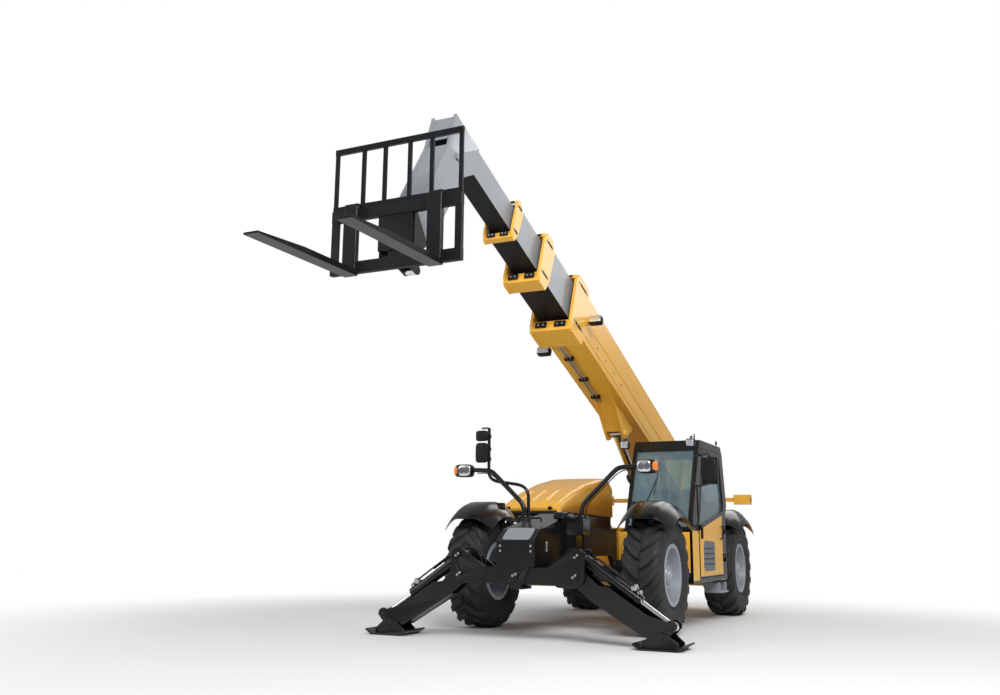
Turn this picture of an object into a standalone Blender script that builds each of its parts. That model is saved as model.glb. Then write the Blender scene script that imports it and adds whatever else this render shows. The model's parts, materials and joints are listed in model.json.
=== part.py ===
"""Telehandler: a rough-terrain handler with a four-section boom, fork carriage and front stabilisers.

Machine frame, metres: +X is the machine's left (cab side), the front faces -Y, +Z is up, and the
floor is z = 0. Everything hangs from one root empty that centres the model over its own footprint.
"""
import math

import bmesh
import bpy
from mathutils import Matrix, Vector

# ---- gaps ---------------------------------------------------------------------------------------
GAP = 0.0003            # between pieces that are fixed face to face
RUN = 0.0005            # between faces that turn or slide on each other
PLAY = 0.006            # between a moving piece and its frame

# ---- wheels and axles ---------------------------------------------------------------------------
WHEELBASE = 3.30
TRACK = 2.03
TYRE_RADIUS = 0.62
TYRE_WIDTH = 0.42
BEAD_RADIUS = 0.305
FLANGE_RADIUS = 0.325
RIM_WIDTH = 0.37
RIM_WALL = 0.022
WHEEL_STEPS = 32        # facets of tyre and rim, the same so that they seat
HUB_RADIUS = 0.12
KINGPIN_X = 0.72        # of the steering axis, from the centre plane
YOKE_RADIUS = 0.045
YOKE_HALF = 0.115       # half the height between the yoke plates
FENDER_GAP = 0.145      # tyre tread to fender
FENDER_SHEET = 0.012
FENDER_HALF_ANGLE = 42.0
FENDER_HALF = 0.30      # half its width
FENDER_FLAT = 0.12      # half of the width that isn't crowned
FENDER_DROOP = 0.17     # of its edges
FENDER_STEPS = 40
AXLE_Y = (-WHEELBASE / 2, WHEELBASE / 2)

# ---- frame --------------------------------------------------------------------------------------
RAIL_INNER = 0.26
RAIL_PLATE = 0.05
RAIL_OUTER = RAIL_INNER + RAIL_PLATE
RAIL_TOP = 1.10
RAIL_LOW = 0.50         # underside between the axles
RAIL_OVER_AXLE = 0.80   # underside above the axles
FRAME_FRONT = -1.93
FRAME_REAR = 2.92

# ---- boom ---------------------------------------------------------------------------------------
PIVOT_Y = 2.55
PIVOT_Z = 1.94
BOOM_ANGLE = 20.5       # elevation as stored, degrees
BOOM_TAIL = 0.25        # tube behind the pivot
EXTENSION = 0.40        # of each inner section, as stored
WALL = 0.012
# name: half width, half height, rear end and front end along the boom, measured from the pivot
SECTIONS = {
    "boom_outer": (0.220, 0.290, -BOOM_TAIL, 4.62),
    "boom_second": (0.180, 0.235, 0.95, 5.60),
    "boom_third": (0.140, 0.185, 1.55, 6.31),
    "boom_head": (0.105, 0.140, 2.15, 7.62),
}
# collar: front end, length along the boom, side plate thickness, beam below, plate above
COLLARS = {
    "boom_outer": (4.86, 0.42, 0.030, 0.13, 0.05),
    "boom_second": (5.72, 0.26, 0.030, 0.12, 0.05),
    "boom_third": (6.36, 0.14, 0.025, 0.08, 0.04),
}
LIFT_BASE = (2.05, 0.85)        # barrel pin: y, z
LIFT_EYE = (2.44, -0.50)        # rod pin: along and above the boom's centre line
LIFT_BARREL_RADIUS = 0.085
LIFT_ROD_RADIUS = 0.055
LIFT_BARREL_LENGTH = 1.62
LIFT_TRAVEL = 0.45
LIFT_EYE_HALF = 0.0695
LIFT_BRACKET = 0.62             # reach of the rod's bracket ahead of its pin

# ---- gooseneck and carriage ---------------------------------------------------------------------
NECK_DROP = 1.38        # carriage pin below the centre line
NECK_REACH = 0.16       # carriage pin ahead of the last section's end
NECK_PLATE = 0.025
NECK_HALF = 0.105
CARRIAGE_HALF = 0.62
CARRIAGE_OFFSET = 0.17  # fork face ahead of the pin
FORK_LENGTH = 1.20
FORK_WIDTH = 0.13
FORK_THICK = 0.05
FORK_SPACING = 0.80
FORK_DROP = 0.24        # blade's top face below the pin
GUARD_TOP = 0.86        # above the pin
TILT_BARREL_LENGTH = 0.80
TILT_TRAVEL = 0.29

# ---- stabilisers --------------------------------------------------------------------------------
STAB_Y = -2.87
LEG_PIN = (0.62, 0.632)         # x, z
RAM_PIN = (0.64, 0.818)
PAD_PIN = (1.434, 0.112)
EYE_PIN = (1.53, 0.205)
PAD_THICK = 0.018
EAR_INNER, EAR_PLATE = 0.104, 0.026
LEG_INNER, LEG_PLATE = 0.075, 0.020
RAM_RADIUS = 0.052
RAM_ROD_RADIUS = 0.028
RAM_BARREL_LENGTH = 0.72
RAM_TRAVEL = 0.27
EYE_HALF = 0.040
BEAM_DEPTH = 0.125      # from its middle to the front and rear faces
BEAM_HALF = 0.48
BEAM_Z = (0.545, 0.705)

# ---- cab ----------------------------------------------------------------------------------------
CAB_X = (0.40, 1.20)
CAB_FRONT = -0.84
CAB_REAR = 0.84
CAB_FLOOR = 0.50
CAB_SILL = 1.10         # bottom edge of the windscreen
CAB_ROOF = 2.16
POST = 0.05             # thickness of the cab's walls and posts
GLASS = 0.006

# ---- engine side --------------------------------------------------------------------------------
POD_X = (-1.13, -0.355)
POD_TOP = 1.27
SHEET = 0.03

COLOURS = {             # red, green, blue, roughness, metallic
    "yellow": (0.80, 0.42, 0.03, 0.40, 0.0),
    "black": (0.02, 0.02, 0.022, 0.35, 0.0),
    "dark": (0.05, 0.05, 0.055, 0.60, 0.0),
    "grey": (0.20, 0.22, 0.23, 0.45, 0.0),
    "silver": (0.55, 0.56, 0.57, 0.35, 0.6),
    "chrome": (0.80, 0.80, 0.82, 0.12, 1.0),
    "rubber": (0.035, 0.035, 0.037, 0.85, 0.0),
    "glass": (0.25, 0.45, 0.55, 0.05, 0.0),
    "fabric": (0.04, 0.04, 0.05, 0.90, 0.0),
}


# ---- shapes -------------------------------------------------------------------------------------
def evaluated_mesh(obj):
    """The mesh of an object as its modifiers leave it, in world space; the object is removed."""
    bpy.context.view_layer.update()
    graph = bpy.context.evaluated_depsgraph_get()
    mesh = bpy.data.meshes.new_from_object(obj.evaluated_get(graph))
    mesh.transform(obj.matrix_world)
    bpy.data.objects.remove(obj)
    return mesh


def weld(mesh):
    work = bmesh.new()
    work.from_mesh(mesh)
    bmesh.ops.remove_doubles(work, verts=work.verts, dist=2e-5)
    bmesh.ops.dissolve_degenerate(work, edges=work.edges, dist=2e-5)
    work.to_mesh(mesh)
    work.free()
    return mesh


def box(x, y, z):
    """A block between two values on each axis."""
    work = bmesh.new()
    bmesh.ops.create_cube(work, size=1.0)
    middle = Vector(((x[0] + x[1]) / 2, (y[0] + y[1]) / 2, (z[0] + z[1]) / 2))
    size = Vector((abs(x[1] - x[0]), abs(y[1] - y[0]), abs(z[1] - z[0])))
    bmesh.ops.scale(work, vec=size, verts=work.verts)
    bmesh.ops.translate(work, vec=middle, verts=work.verts)
    mesh = bpy.data.meshes.new("box")
    work.to_mesh(mesh)
    work.free()
    return mesh


def rod(start, end, radius, segments=20):
    """A round bar from one point to another."""
    start, end = Vector(start), Vector(end)
    work = bmesh.new()
    bmesh.ops.create_cone(work, cap_ends=True, segments=segments, radius1=radius, radius2=radius,
                          depth=(end - start).length)
    turn = (end - start).to_track_quat("Z", "Y").to_matrix().to_4x4()
    bmesh.ops.transform(work, matrix=Matrix.Translation((start + end) / 2) @ turn, verts=work.verts)
    mesh = bpy.data.meshes.new("rod")
    work.to_mesh(mesh)
    work.free()
    return mesh


AXES = {                # the plate's two outline axes and its normal, as columns
    "X": Matrix(((0, 0, 1), (1, 0, 0), (0, 1, 0))),
    "Y": Matrix(((1, 0, 0), (0, 0, -1), (0, 1, 0))),
    "Z": Matrix(((1, 0, 0), (0, 1, 0), (0, 0, 1))),
}


def plate(outline, normal, span):
    """A flat outline, in the two axes other than its normal, made thick between two values."""
    curve = bpy.data.curves.new("plate", "CURVE")
    curve.dimensions = "2D"
    curve.fill_mode = "BOTH"
    curve.extrude = abs(span[1] - span[0]) / 2
    spline = curve.splines.new("POLY")
    spline.points.add(len(outline) - 1)
    for point, (u, v) in zip(spline.points, outline):
        point.co = (u, v, 0, 1)
    spline.use_cyclic_u = True
    obj = bpy.data.objects.new("plate", curve)
    bpy.context.scene.collection.objects.link(obj)
    middle = (span[0] + span[1]) / 2
    shift = {"X": (middle, 0, 0), "Y": (0, middle, 0), "Z": (0, 0, middle)}[normal]
    obj.matrix_world = Matrix.Translation(shift) @ AXES[normal].to_4x4()
    return weld(evaluated_mesh(obj))


def tube(points, radius, resolution=2):
    """A bent tube through a few points."""
    curve = bpy.data.curves.new("tube", "CURVE")
    curve.dimensions = "3D"
    curve.bevel_depth = radius
    curve.bevel_resolution = resolution
    curve.use_fill_caps = True
    spline = curve.splines.new("POLY")
    spline.points.add(len(points) - 1)
    for point, place in zip(spline.points, points):
        point.co = (*place, 1)
    obj = bpy.data.objects.new("tube", curve)
    bpy.context.scene.collection.objects.link(obj)
    return weld(evaluated_mesh(obj))


def turned(profile, place=(0, 0, 0), steps=40, axis="X"):
    """A closed outline of (distance along the axis, radius) points turned about that axis."""
    mesh = bpy.data.meshes.new("profile")
    count = len(profile)
    edges = [(i, (i + 1) % count) for i in range(count) if profile[i][1] or profile[(i + 1) % count][1]]
    mesh.from_pydata([(r, 0, a) for a, r in profile], edges, [])
    obj = bpy.data.objects.new("turned", mesh)
    bpy.context.scene.collection.objects.link(obj)
    screw = obj.modifiers.new("Screw", "SCREW")
    screw.steps = screw.render_steps = steps
    screw.use_merge_vertices = True
    screw.merge_threshold = 1e-4
    turn = {"X": Matrix.Rotation(math.pi / 2, 4, "Y"), "Z": Matrix.Identity(4)}[axis]
    obj.matrix_world = Matrix.Translation(place) @ turn
    mesh = evaluated_mesh(obj)
    work = bmesh.new()
    work.from_mesh(mesh)
    bmesh.ops.recalc_face_normals(work, faces=work.faces)
    work.to_mesh(mesh)
    work.free()
    return mesh


def arc(centre, radius, start, end, count):
    """Points along an arc, its angles in degrees from the first axis towards the second."""
    angles = [math.radians(start + (end - start) * i / (count - 1)) for i in range(count)]
    return [(centre[0] + radius * math.cos(a), centre[1] + radius * math.sin(a)) for a in angles]


def mirrored(mesh):
    """A copy on the other side of the centre plane."""
    copy = mesh.copy()
    copy.transform(Matrix.Scale(-1, 4, (1, 0, 0)))
    copy.flip_normals()
    return copy


def both_sides(mesh):
    return [mesh, mirrored(mesh)]


# ---- nodes --------------------------------------------------------------------------------------
for old in list(bpy.data.objects):
    bpy.data.objects.remove(old)

machine = bpy.data.collections.new("telehandler")
bpy.context.scene.collection.children.link(machine)
root = bpy.data.objects.new("root", None)
machine.objects.link(root)


def material(colour):
    found = bpy.data.materials.get(colour)
    if found:
        return found
    red, green, blue, rough, metal = COLOURS[colour]
    made = bpy.data.materials.new(colour)
    made.use_nodes = True
    shader = made.node_tree.nodes["Principled BSDF"]
    shader.inputs["Base Color"].default_value = (red, green, blue, 1)
    shader.inputs["Roughness"].default_value = rough
    shader.inputs["Metallic"].default_value = metal
    made.diffuse_color = (red, green, blue, 1)
    return made


def boolean(mesh, other, operation):
    first = bpy.data.objects.new("first", mesh)
    second = bpy.data.objects.new("second", other)
    for obj in (first, second):
        bpy.context.scene.collection.objects.link(obj)
    step = first.modifiers.new("Boolean", "BOOLEAN")
    step.operation = operation
    step.object = second
    made = weld(evaluated_mesh(first))
    bpy.data.objects.remove(second)
    return made


def node(name, colour, pieces, cuts=(), origin=(0, 0, 0), tilt=0.0, side=1, shift=None):
    """One sub-part: its pieces joined, its cuts taken out, its origin on its own axis.

    tilt turns the finished piece about X at its origin; side -1 mirrors it to the right.
    """
    mesh = pieces[0]
    for piece in pieces[1:]:
        mesh = boolean(mesh, piece, "UNION")
    for cut in cuts:
        mesh = boolean(mesh, cut, "DIFFERENCE")
    if side < 0:
        mesh = mirrored(mesh)
        origin = (-origin[0], origin[1], origin[2])
    mesh.transform(Matrix.Translation(-Vector(origin)))
    place = Vector(origin) if shift is None else Vector(shift)
    mesh.name = name
    mesh.materials.clear()
    mesh.materials.append(material(colour))
    mesh.shade_smooth()
    mesh.set_sharp_from_angle(angle=math.radians(35))
    obj = bpy.data.objects.new(name, mesh)
    machine.objects.link(obj)
    obj.location = place
    obj.rotation_euler = (tilt, 0, 0)
    obj.parent = root
    return obj


# ---- frame and axles ----------------------------------------------------------------------------
def chassis():
    outline = [(FRAME_FRONT, RAIL_OVER_AXLE), (-1.05, RAIL_OVER_AXLE), (-0.86, RAIL_LOW), (0.90, RAIL_LOW),
               (1.08, RAIL_OVER_AXLE), (1.84, RAIL_OVER_AXLE), (1.92, 0.60), (FRAME_REAR, 0.60),
               (FRAME_REAR, 1.45)]
    outline += arc((PIVOT_Y, PIVOT_Z), 0.24, -20, 170, 9)
    outline += [(2.05, 1.42), (1.30, RAIL_TOP), (FRAME_FRONT, RAIL_TOP)]
    pieces = both_sides(plate(outline, "X", (RAIL_INNER, RAIL_OUTER)))
    inside = (-RAIL_INNER - 0.02, RAIL_INNER + 0.02)
    pieces += [
        box(inside, (FRAME_FRONT + 0.01, -1.34), (0.83, 1.03)),                  # over the front axle
        box(inside, (-0.84, 0.86), (RAIL_LOW + 0.01, RAIL_LOW + 0.04)),          # belly plate
        box(inside, (1.86, 2.22), (RAIL_OVER_AXLE - 0.17, LIFT_BASE[1] - 0.085)),  # under the lift ram
        box(inside, (FRAME_REAR - 0.07, FRAME_REAR - 0.01), (0.66, 1.42)),       # tail plate
    ]
    lug = [(LIFT_BASE[0] - 0.13, 0.70), (LIFT_BASE[0] + 0.13, 0.70)]
    lug += arc(LIFT_BASE, 0.08, 0, 180, 9)
    pieces += both_sides(plate(lug, "X", (LIFT_BARREL_RADIUS + 0.006, LIFT_BARREL_RADIUS + 0.036)))
    boss = rod((-RAIL_INNER - 0.02, PIVOT_Y, PIVOT_Z), (-SECTIONS["boom_outer"][0] - 0.015 - RUN,
               PIVOT_Y, PIVOT_Z), 0.11, 24)
    pieces += both_sides(boss)
    cap = rod((RAIL_OUTER - 0.02, PIVOT_Y, PIVOT_Z), (RAIL_OUTER + 0.025, PIVOT_Y, PIVOT_Z), 0.09, 24)
    pieces += both_sides(cap)
    for y in (-0.62, 0.62):                                                      # cab and engine arms
        pieces.append(box((-1.0, 1.0), (y - 0.07, y + 0.07), (RAIL_LOW - 0.08, RAIL_LOW - GAP)))
        pieces.append(box((-0.30, 0.30), (y - 0.05, y + 0.05), (RAIL_LOW - 0.02, RAIL_LOW + 0.02)))
    arm = box((RAIL_OUTER - 0.02, 0.98), (2.60, 2.66), (1.54, 1.60))              # lamp arms
    lamp = box((0.94, 1.18), (2.57, 2.69), (1.50, 1.64))
    pieces += both_sides(arm) + both_sides(lamp)
    node("chassis_frame", "yellow", pieces)


def nose():
    """The box ahead of the frame: it lies over the stabilisers' beam, and its face plate hangs before it."""
    back, face = STAB_Y + BEAM_DEPTH + GAP, STAB_Y - BEAM_DEPTH - 0.016
    over = BEAM_Z[1] + 0.007
    side = [(face, over), (back, over), (back, 0.60), (FRAME_FRONT - GAP, 0.60), (FRAME_FRONT - GAP, 1.25),
            (face + 0.16, 1.075), (face, 0.965)]
    tongue = [(-0.195, 0.95), (-0.195, 0.82), (-0.09, 0.56), (0.09, 0.56), (0.195, 0.82), (0.195, 0.95)]
    shoulder = box((-0.385, 0.385), (FRAME_FRONT - 0.22, FRAME_FRONT - 0.02), (1.02, 1.20))
    pin = rod((0, face - 0.028, LEG_PIN[1]), (0, face + 0.01, LEG_PIN[1]), 0.045, 20)
    node("nose_box", "black", [plate(side, "X", (-0.205, 0.205)), shoulder,
                               box((-0.30, 0.30), (FRAME_FRONT - 0.20, FRAME_FRONT - GAP), (0.70, 1.09)),
                               plate(tongue, "Y", (face, STAB_Y - BEAM_DEPTH - RUN)), pin])


def counterweight():
    rear = FRAME_REAR + 0.14
    front = AXLE_Y[1] + 0.82
    outline = [(-0.98, front), (-RAIL_OUTER - GAP, front), (-RAIL_OUTER - GAP, FRAME_REAR + GAP),
               (RAIL_OUTER + GAP, FRAME_REAR + GAP), (RAIL_OUTER + GAP, front), (0.98, front),
               (0.98, rear - 0.08), (0.86, rear), (-0.86, rear), (-0.98, rear - 0.08)]
    node("counterweight", "yellow", [plate(outline, "Z", (0.56, 1.16))])


def axle(name, y):
    z = TYRE_RADIUS
    half = KINGPIN_X - 0.06
    pieces = [box((-half, half), (y - 0.075, y + 0.075), (z - 0.085, z + 0.085)),
              turned([(-0.20, 0.02), (-0.20, 0.10), (-0.10, 0.17), (0.10, 0.17), (0.20, 0.10), (0.20, 0.02)],
                     (0, y, z), 24)]
    for x in (KINGPIN_X, -KINGPIN_X):
        inward = math.copysign(0.12, x)
        for low, high in ((YOKE_HALF, YOKE_HALF + 0.03), (-YOKE_HALF - 0.03, -YOKE_HALF)):
            pieces.append(box((x - inward, x), (y - YOKE_RADIUS, y + YOKE_RADIUS), (z + low, z + high)))
            pieces.append(rod((x, y, z + low), (x, y, z + high), YOKE_RADIUS, 20))
        pieces.append(box((x - inward * 1.05, x - inward * 0.55), (y - 0.06, y + 0.06),
                          (z - YOKE_HALF - 0.028, z + YOKE_HALF + 0.028)))
    seat = box((RAIL_INNER - 0.01, RAIL_OUTER + 0.01), (y - 0.07, y + 0.07), (z, RAIL_OVER_AXLE - GAP))
    node(name, "black", pieces + both_sides(seat))


# ---- wheels -------------------------------------------------------------------------------------
def tyre_profile():
    half = TYRE_WIDTH / 2
    seat = RIM_WIDTH / 2 - 0.02 - GAP
    tread = TYRE_RADIUS
    return [(-seat, BEAD_RADIUS + GAP), (-seat, FLANGE_RADIUS + 0.01), (-half, FLANGE_RADIUS + 0.07),
            (-half, tread - 0.08), (-half + 0.03, tread - 0.025), (-half + 0.08, tread), (half - 0.08, tread),
            (half - 0.03, tread - 0.025), (half, tread - 0.08), (half, FLANGE_RADIUS + 0.07),
            (seat, FLANGE_RADIUS + 0.01), (seat, BEAD_RADIUS + GAP)]


DISC_X = 0.03           # the rim's disc, outboard of the wheel's centre plane
DISC_THICK = 0.03


def rim_profile():
    half = RIM_WIDTH / 2
    inner = BEAD_RADIUS - RIM_WALL
    return [(-half, inner), (-half, FLANGE_RADIUS), (-half + 0.02, FLANGE_RADIUS), (-half + 0.02, BEAD_RADIUS),
            (half - 0.02, BEAD_RADIUS), (half - 0.02, FLANGE_RADIUS), (half, FLANGE_RADIUS), (half, inner),
            (DISC_X + DISC_THICK, inner - 0.01), (DISC_X + DISC_THICK + 0.01, HUB_RADIUS),
            (DISC_X + DISC_THICK + 0.085, HUB_RADIUS - 0.02), (DISC_X + DISC_THICK + 0.085, 0.0),
            (DISC_X, 0.0), (DISC_X, inner - 0.01), (DISC_X - 0.03, inner)]


def wheel(tag, side, y):
    """Tyre, rim, knuckle and fender of one corner; all ride on the kingpin."""
    z = TYRE_RADIUS
    centre = (TRACK / 2, y, z)
    node("tyre_" + tag, "rubber", [turned(tyre_profile(), centre, WHEEL_STEPS)], origin=centre, side=side)
    node("rim_" + tag, "silver", [turned(rim_profile(), centre, WHEEL_STEPS)], origin=centre, side=side)

    inner_face = centre[0] + DISC_X - RUN
    arm_x = (centre[0] - TYRE_WIDTH / 2 - 0.033, centre[0] - TYRE_WIDTH / 2 - 0.010)
    reach = TYRE_RADIUS + FENDER_GAP
    seat = z + reach - 0.028 * math.tan(math.pi / FENDER_STEPS) - GAP
    pieces = [rod((KINGPIN_X, y, z - YOKE_HALF + RUN), (KINGPIN_X, y, z + YOKE_HALF - RUN), YOKE_RADIUS, 20),
              rod((KINGPIN_X, y, z), (inner_face, y, z), 0.098, 24),
              box(arm_x, (y - 0.030, y + 0.030), (z + 0.02, seat - 0.005)),
              box((arm_x[0] + 0.005, centre[0] + 0.12), (y - 0.028, y + 0.028), (seat - 0.030, seat))]
    pin = (KINGPIN_X, y, z)
    node("knuckle_" + tag, "black", pieces, origin=pin, side=side)

    skin = []
    for offset in (-0.30, -0.27, -0.22, -0.17, -0.12, 0.12, 0.17, 0.22, 0.27, 0.30):
        sag = max(0.0, (abs(offset) - FENDER_FLAT) / (FENDER_HALF - FENDER_FLAT)) ** 1.6 * FENDER_DROOP
        skin.append((offset, reach - sag))
    shell = turned(skin + [(a, r + FENDER_SHEET) for a, r in reversed(skin)], centre, FENDER_STEPS)
    spread = math.radians(FENDER_HALF_ANGLE)
    far = 2 * reach
    wedge = [(y, z)] + [(y + s * far * math.sin(spread), z + far * math.cos(spread)) for s in (1, -1)]
    sector = boolean(shell, plate(wedge, "X", (centre[0] - 0.4, centre[0] + 0.4)), "INTERSECT")
    slot = box((arm_x[0] - GAP, centre[0] - FENDER_FLAT), (y - 0.030 - GAP, y + 0.030 + GAP), (z, z + far))
    node("fender_" + tag, "black", [sector], cuts=[slot], origin=pin, side=side)


# ---- stabilisers --------------------------------------------------------------------------------
LEG_SPAN = math.dist(LEG_PIN, PAD_PIN)
LEG_SLOPE = math.atan2(PAD_PIN[1] - LEG_PIN[1], PAD_PIN[0] - LEG_PIN[0])


def on_leg(along, above):
    """A point of the left leg, from its pin along the line to the pad's pin."""
    c, s = math.cos(LEG_SLOPE), math.sin(LEG_SLOPE)
    return (LEG_PIN[0] + along * c - above * s, LEG_PIN[1] + along * s + above * c)


def stab_y(low, high):
    return (STAB_Y + low, STAB_Y + high)


def both_faces(make, low, high):
    """The same plate on both sides of the stabilisers' plane."""
    return [make(stab_y(low, high)), make(stab_y(-high, -low))]


def stabiliser_beam():
    low, high = BEAM_Z
    front = EAR_INNER + EAR_PLATE - 0.005
    pieces = [box((-BEAM_HALF, BEAM_HALF), stab_y(-front, front), (low, high))]
    ear = [(BEAM_HALF - 0.12, low + 0.01), (LEG_PIN[0], LEG_PIN[1] - 0.10)]
    ear += arc(LEG_PIN, 0.10, -80, 0, 5)
    ear += arc(RAM_PIN, 0.075, 10, 130, 6)
    ear += [(BEAM_HALF - 0.16, high - 0.01)]
    for x_sign in (1, -1):
        outline = [(x * x_sign, z) for x, z in (ear if x_sign > 0 else reversed(ear))]
        pieces += both_faces(lambda span: plate(outline, "Y", span), EAR_INNER, EAR_INNER + EAR_PLATE)
        for pin, reach in ((LEG_PIN, LEG_INNER + LEG_PLATE + RUN), (RAM_PIN, EYE_HALF + RUN)):
            x = pin[0] * x_sign
            for s in (1, -1):
                pieces.append(rod((x, STAB_Y + s * reach, pin[1]), (x, STAB_Y + s * (EAR_INNER + EAR_PLATE + 0.018),
                                  pin[1]), 0.032, 20))
    pieces += [box((-0.06, 0.06), stab_y(-front, front), (low - 0.05, low + 0.01))]
    node("stabiliser_beam", "black", pieces)


def leg(tag, side):
    outline = arc(LEG_PIN, 0.085, math.degrees(LEG_SLOPE) + 100, math.degrees(LEG_SLOPE) + 260, 7)
    outline += [on_leg(0.25, -0.110), on_leg(LEG_SPAN - 0.15, -0.092)]
    outline += arc(PAD_PIN, 0.060, math.degrees(LEG_SLOPE) - 90, math.degrees(LEG_SLOPE) - 20, 4)
    outline += arc(EYE_PIN, 0.060, -10, 130, 6)
    outline += [on_leg(LEG_SPAN - 0.20, 0.095), on_leg(0.32, 0.095), on_leg(0.225, 0.05)]
    pieces = both_faces(lambda span: plate(outline, "Y", span), LEG_INNER, LEG_INNER + LEG_PLATE)
    floor = [on_leg(0.22, -0.104), on_leg(LEG_SPAN - 0.17, -0.090), on_leg(LEG_SPAN - 0.17, -0.074),
             on_leg(0.22, -0.088)]
    pieces.append(plate(floor, "Y", stab_y(-LEG_INNER - 0.01, LEG_INNER + 0.01)))
    for s in (1, -1):
        pieces.append(rod((EYE_PIN[0], STAB_Y + s * (EYE_HALF + RUN), EYE_PIN[1]),
                          (EYE_PIN[0], STAB_Y + s * (LEG_INNER + LEG_PLATE + 0.012), EYE_PIN[1]), 0.026, 16))
        reach = LEG_INNER + LEG_PLATE
        pieces.append(rod((PAD_PIN[0], STAB_Y + s * (reach - 0.01), PAD_PIN[1]),
                          (PAD_PIN[0], STAB_Y + s * (reach + 0.006), PAD_PIN[1]), 0.035, 16))
    origin = (LEG_PIN[0], STAB_Y, LEG_PIN[1])
    node("leg_" + tag, "black", pieces, origin=origin, side=side)


def pad(tag, side):
    x = PAD_PIN[0]
    base = [(x - 0.24, 0.045), (x - 0.17, 0.0), (x + 0.17, 0.0), (x + 0.24, 0.045),
            (x + 0.235, 0.062), (x + 0.165, PAD_THICK), (x - 0.165, PAD_THICK), (x - 0.235, 0.062)]
    pieces = [plate(base, "Y", stab_y(-0.20, 0.20))]
    inner = LEG_INNER + LEG_PLATE + 0.006 + RUN
    web = [(x - 0.17, PAD_THICK - 0.008), (x + 0.17, PAD_THICK - 0.008), (x + 0.17, 0.060), (x + 0.09, 0.130)]
    web += arc(PAD_PIN, 0.050, 40, 140, 5) + [(x - 0.09, 0.130), (x - 0.17, 0.060)]
    pieces += both_faces(lambda span: plate(web, "Y", span), inner, inner + 0.016)
    for s in (1, -1):
        pieces.append(rod((x, STAB_Y + s * (inner + 0.008), PAD_PIN[1]),
                          (x, STAB_Y + s * (inner + 0.030), PAD_PIN[1]), 0.028, 16))
    node("pad_" + tag, "black", pieces, origin=(x, STAB_Y, PAD_PIN[1]), side=side)


def ram(names, base, tip, across, radii, barrel_length, eyes, travel, colour="black", side=1):
    """A hydraulic ram: the barrel turns on the base pin, the rod's eye lies on the tip pin.

    base and tip are 3-D points; across is the pins' direction; radii are of barrel and rod; eyes
    holds the half width at the base, the half width at the tip and the radius of both eyes. travel is
    how far the rod must be able to slide further in.
    """
    base, tip, across = Vector(base), Vector(tip), Vector(across)
    base_half, tip_half, eye = eyes
    barrel_radius, rod_radius = radii
    line = (tip - base).normalized()
    mouth = base + line * barrel_length
    barrel = [rod(base + line * (eye + 0.010), mouth, barrel_radius, 24),
              rod(base, base + line * (eye + 0.030), base_half * 0.85, 16),
              rod(base - across * base_half, base + across * base_half, eye, 20),
              rod(mouth - line * 0.06, mouth - line * 0.005, barrel_radius * 1.12, 24)]
    bottom = base + line * (eye + 0.11)
    start = bottom + line * (0.03 + travel)
    bore = rod(bottom, mouth + line * 0.05, rod_radius + RUN * 1.6, 24)
    node(names[0], colour, barrel, cuts=[bore], origin=base, side=side)
    stem = [rod(start, tip - line * eye * 0.4, rod_radius, 24),
            rod(tip - across * tip_half, tip + across * tip_half, eye, 20)]
    node(names[1], "chrome", stem, origin=tip, side=side)


def leg_ram(tag, side):
    ram(("ram_barrel_" + tag, "ram_rod_" + tag), (RAM_PIN[0], STAB_Y, RAM_PIN[1]),
        (EYE_PIN[0], STAB_Y, EYE_PIN[1]), (0, 1, 0), (RAM_RADIUS, RAM_ROD_RADIUS), RAM_BARREL_LENGTH,
        (EYE_HALF, EYE_HALF, 0.045), RAM_TRAVEL, side=side)


# ---- boom ---------------------------------------------------------------------------------------
TILT = -math.radians(BOOM_ANGLE)
PIVOT = (0, PIVOT_Y, PIVOT_Z)


def along(start, end):
    """A span along the boom, whose front points to -Y before it is tilted."""
    return (-end, -start)


def ring(x, y, z, wall):
    """A hollow rectangular tube along Y."""
    return (box((-x, x), y, (-z, z)),
            box((-x + wall, x - wall), (y[0] - 0.05, y[1] + 0.05), (-z + wall, z - wall)))


def collar(name, inner):
    """The head collar of a section, side plates and cross beams, and its wear pads on the next section."""
    half, height, _, front = SECTIONS[name]
    end, length, plate_thick, below, above = COLLARS[name]
    top, low = height + above, -height - below
    back = end - length
    side = [(-back, -height + 0.02), (-back + 0.02, top - 0.10), (-back - 0.08, top), (-end + 0.06, top),
            (-end, top - 0.08), (-end, low + 0.08), (-end + 0.05, low), (-back - 0.06, low)]
    pieces = both_sides(plate(side, "X", (half - 0.004, half + plate_thick)))
    pieces.append(box((-half - plate_thick + 0.002, half + plate_thick - 0.002), along(back + 0.05, end - 0.02),
                      (low + 0.01, -height + 0.004)))
    pieces.append(box((-half + 0.002, half - 0.002), along(back + 0.10, end - 0.03), (height - 0.004, top - 0.01)))
    inner_half, inner_height = inner
    span = along(front - 0.14, front - 0.02)
    pads = []
    for low_z, high_z in ((inner_height + RUN, height - 0.006), (-height + 0.006, -inner_height - RUN)):
        pads.append(box((-inner_half + 0.03, inner_half - 0.03), span, (low_z, high_z)))
    for s in (1, -1):
        pads.append(box((s * (inner_half + RUN), s * (half - 0.006)), span, (-inner_height * 0.6,
                                                                            inner_height * 0.6)))
    return pieces, pads


def boom_node(name, colour, pieces, cuts=()):
    node(name, colour, pieces, cuts=cuts, tilt=TILT, shift=PIVOT)


def next_section(name):
    names = list(SECTIONS)
    following = SECTIONS[names[names.index(name) + 1]]
    return following[0], following[1]


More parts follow.
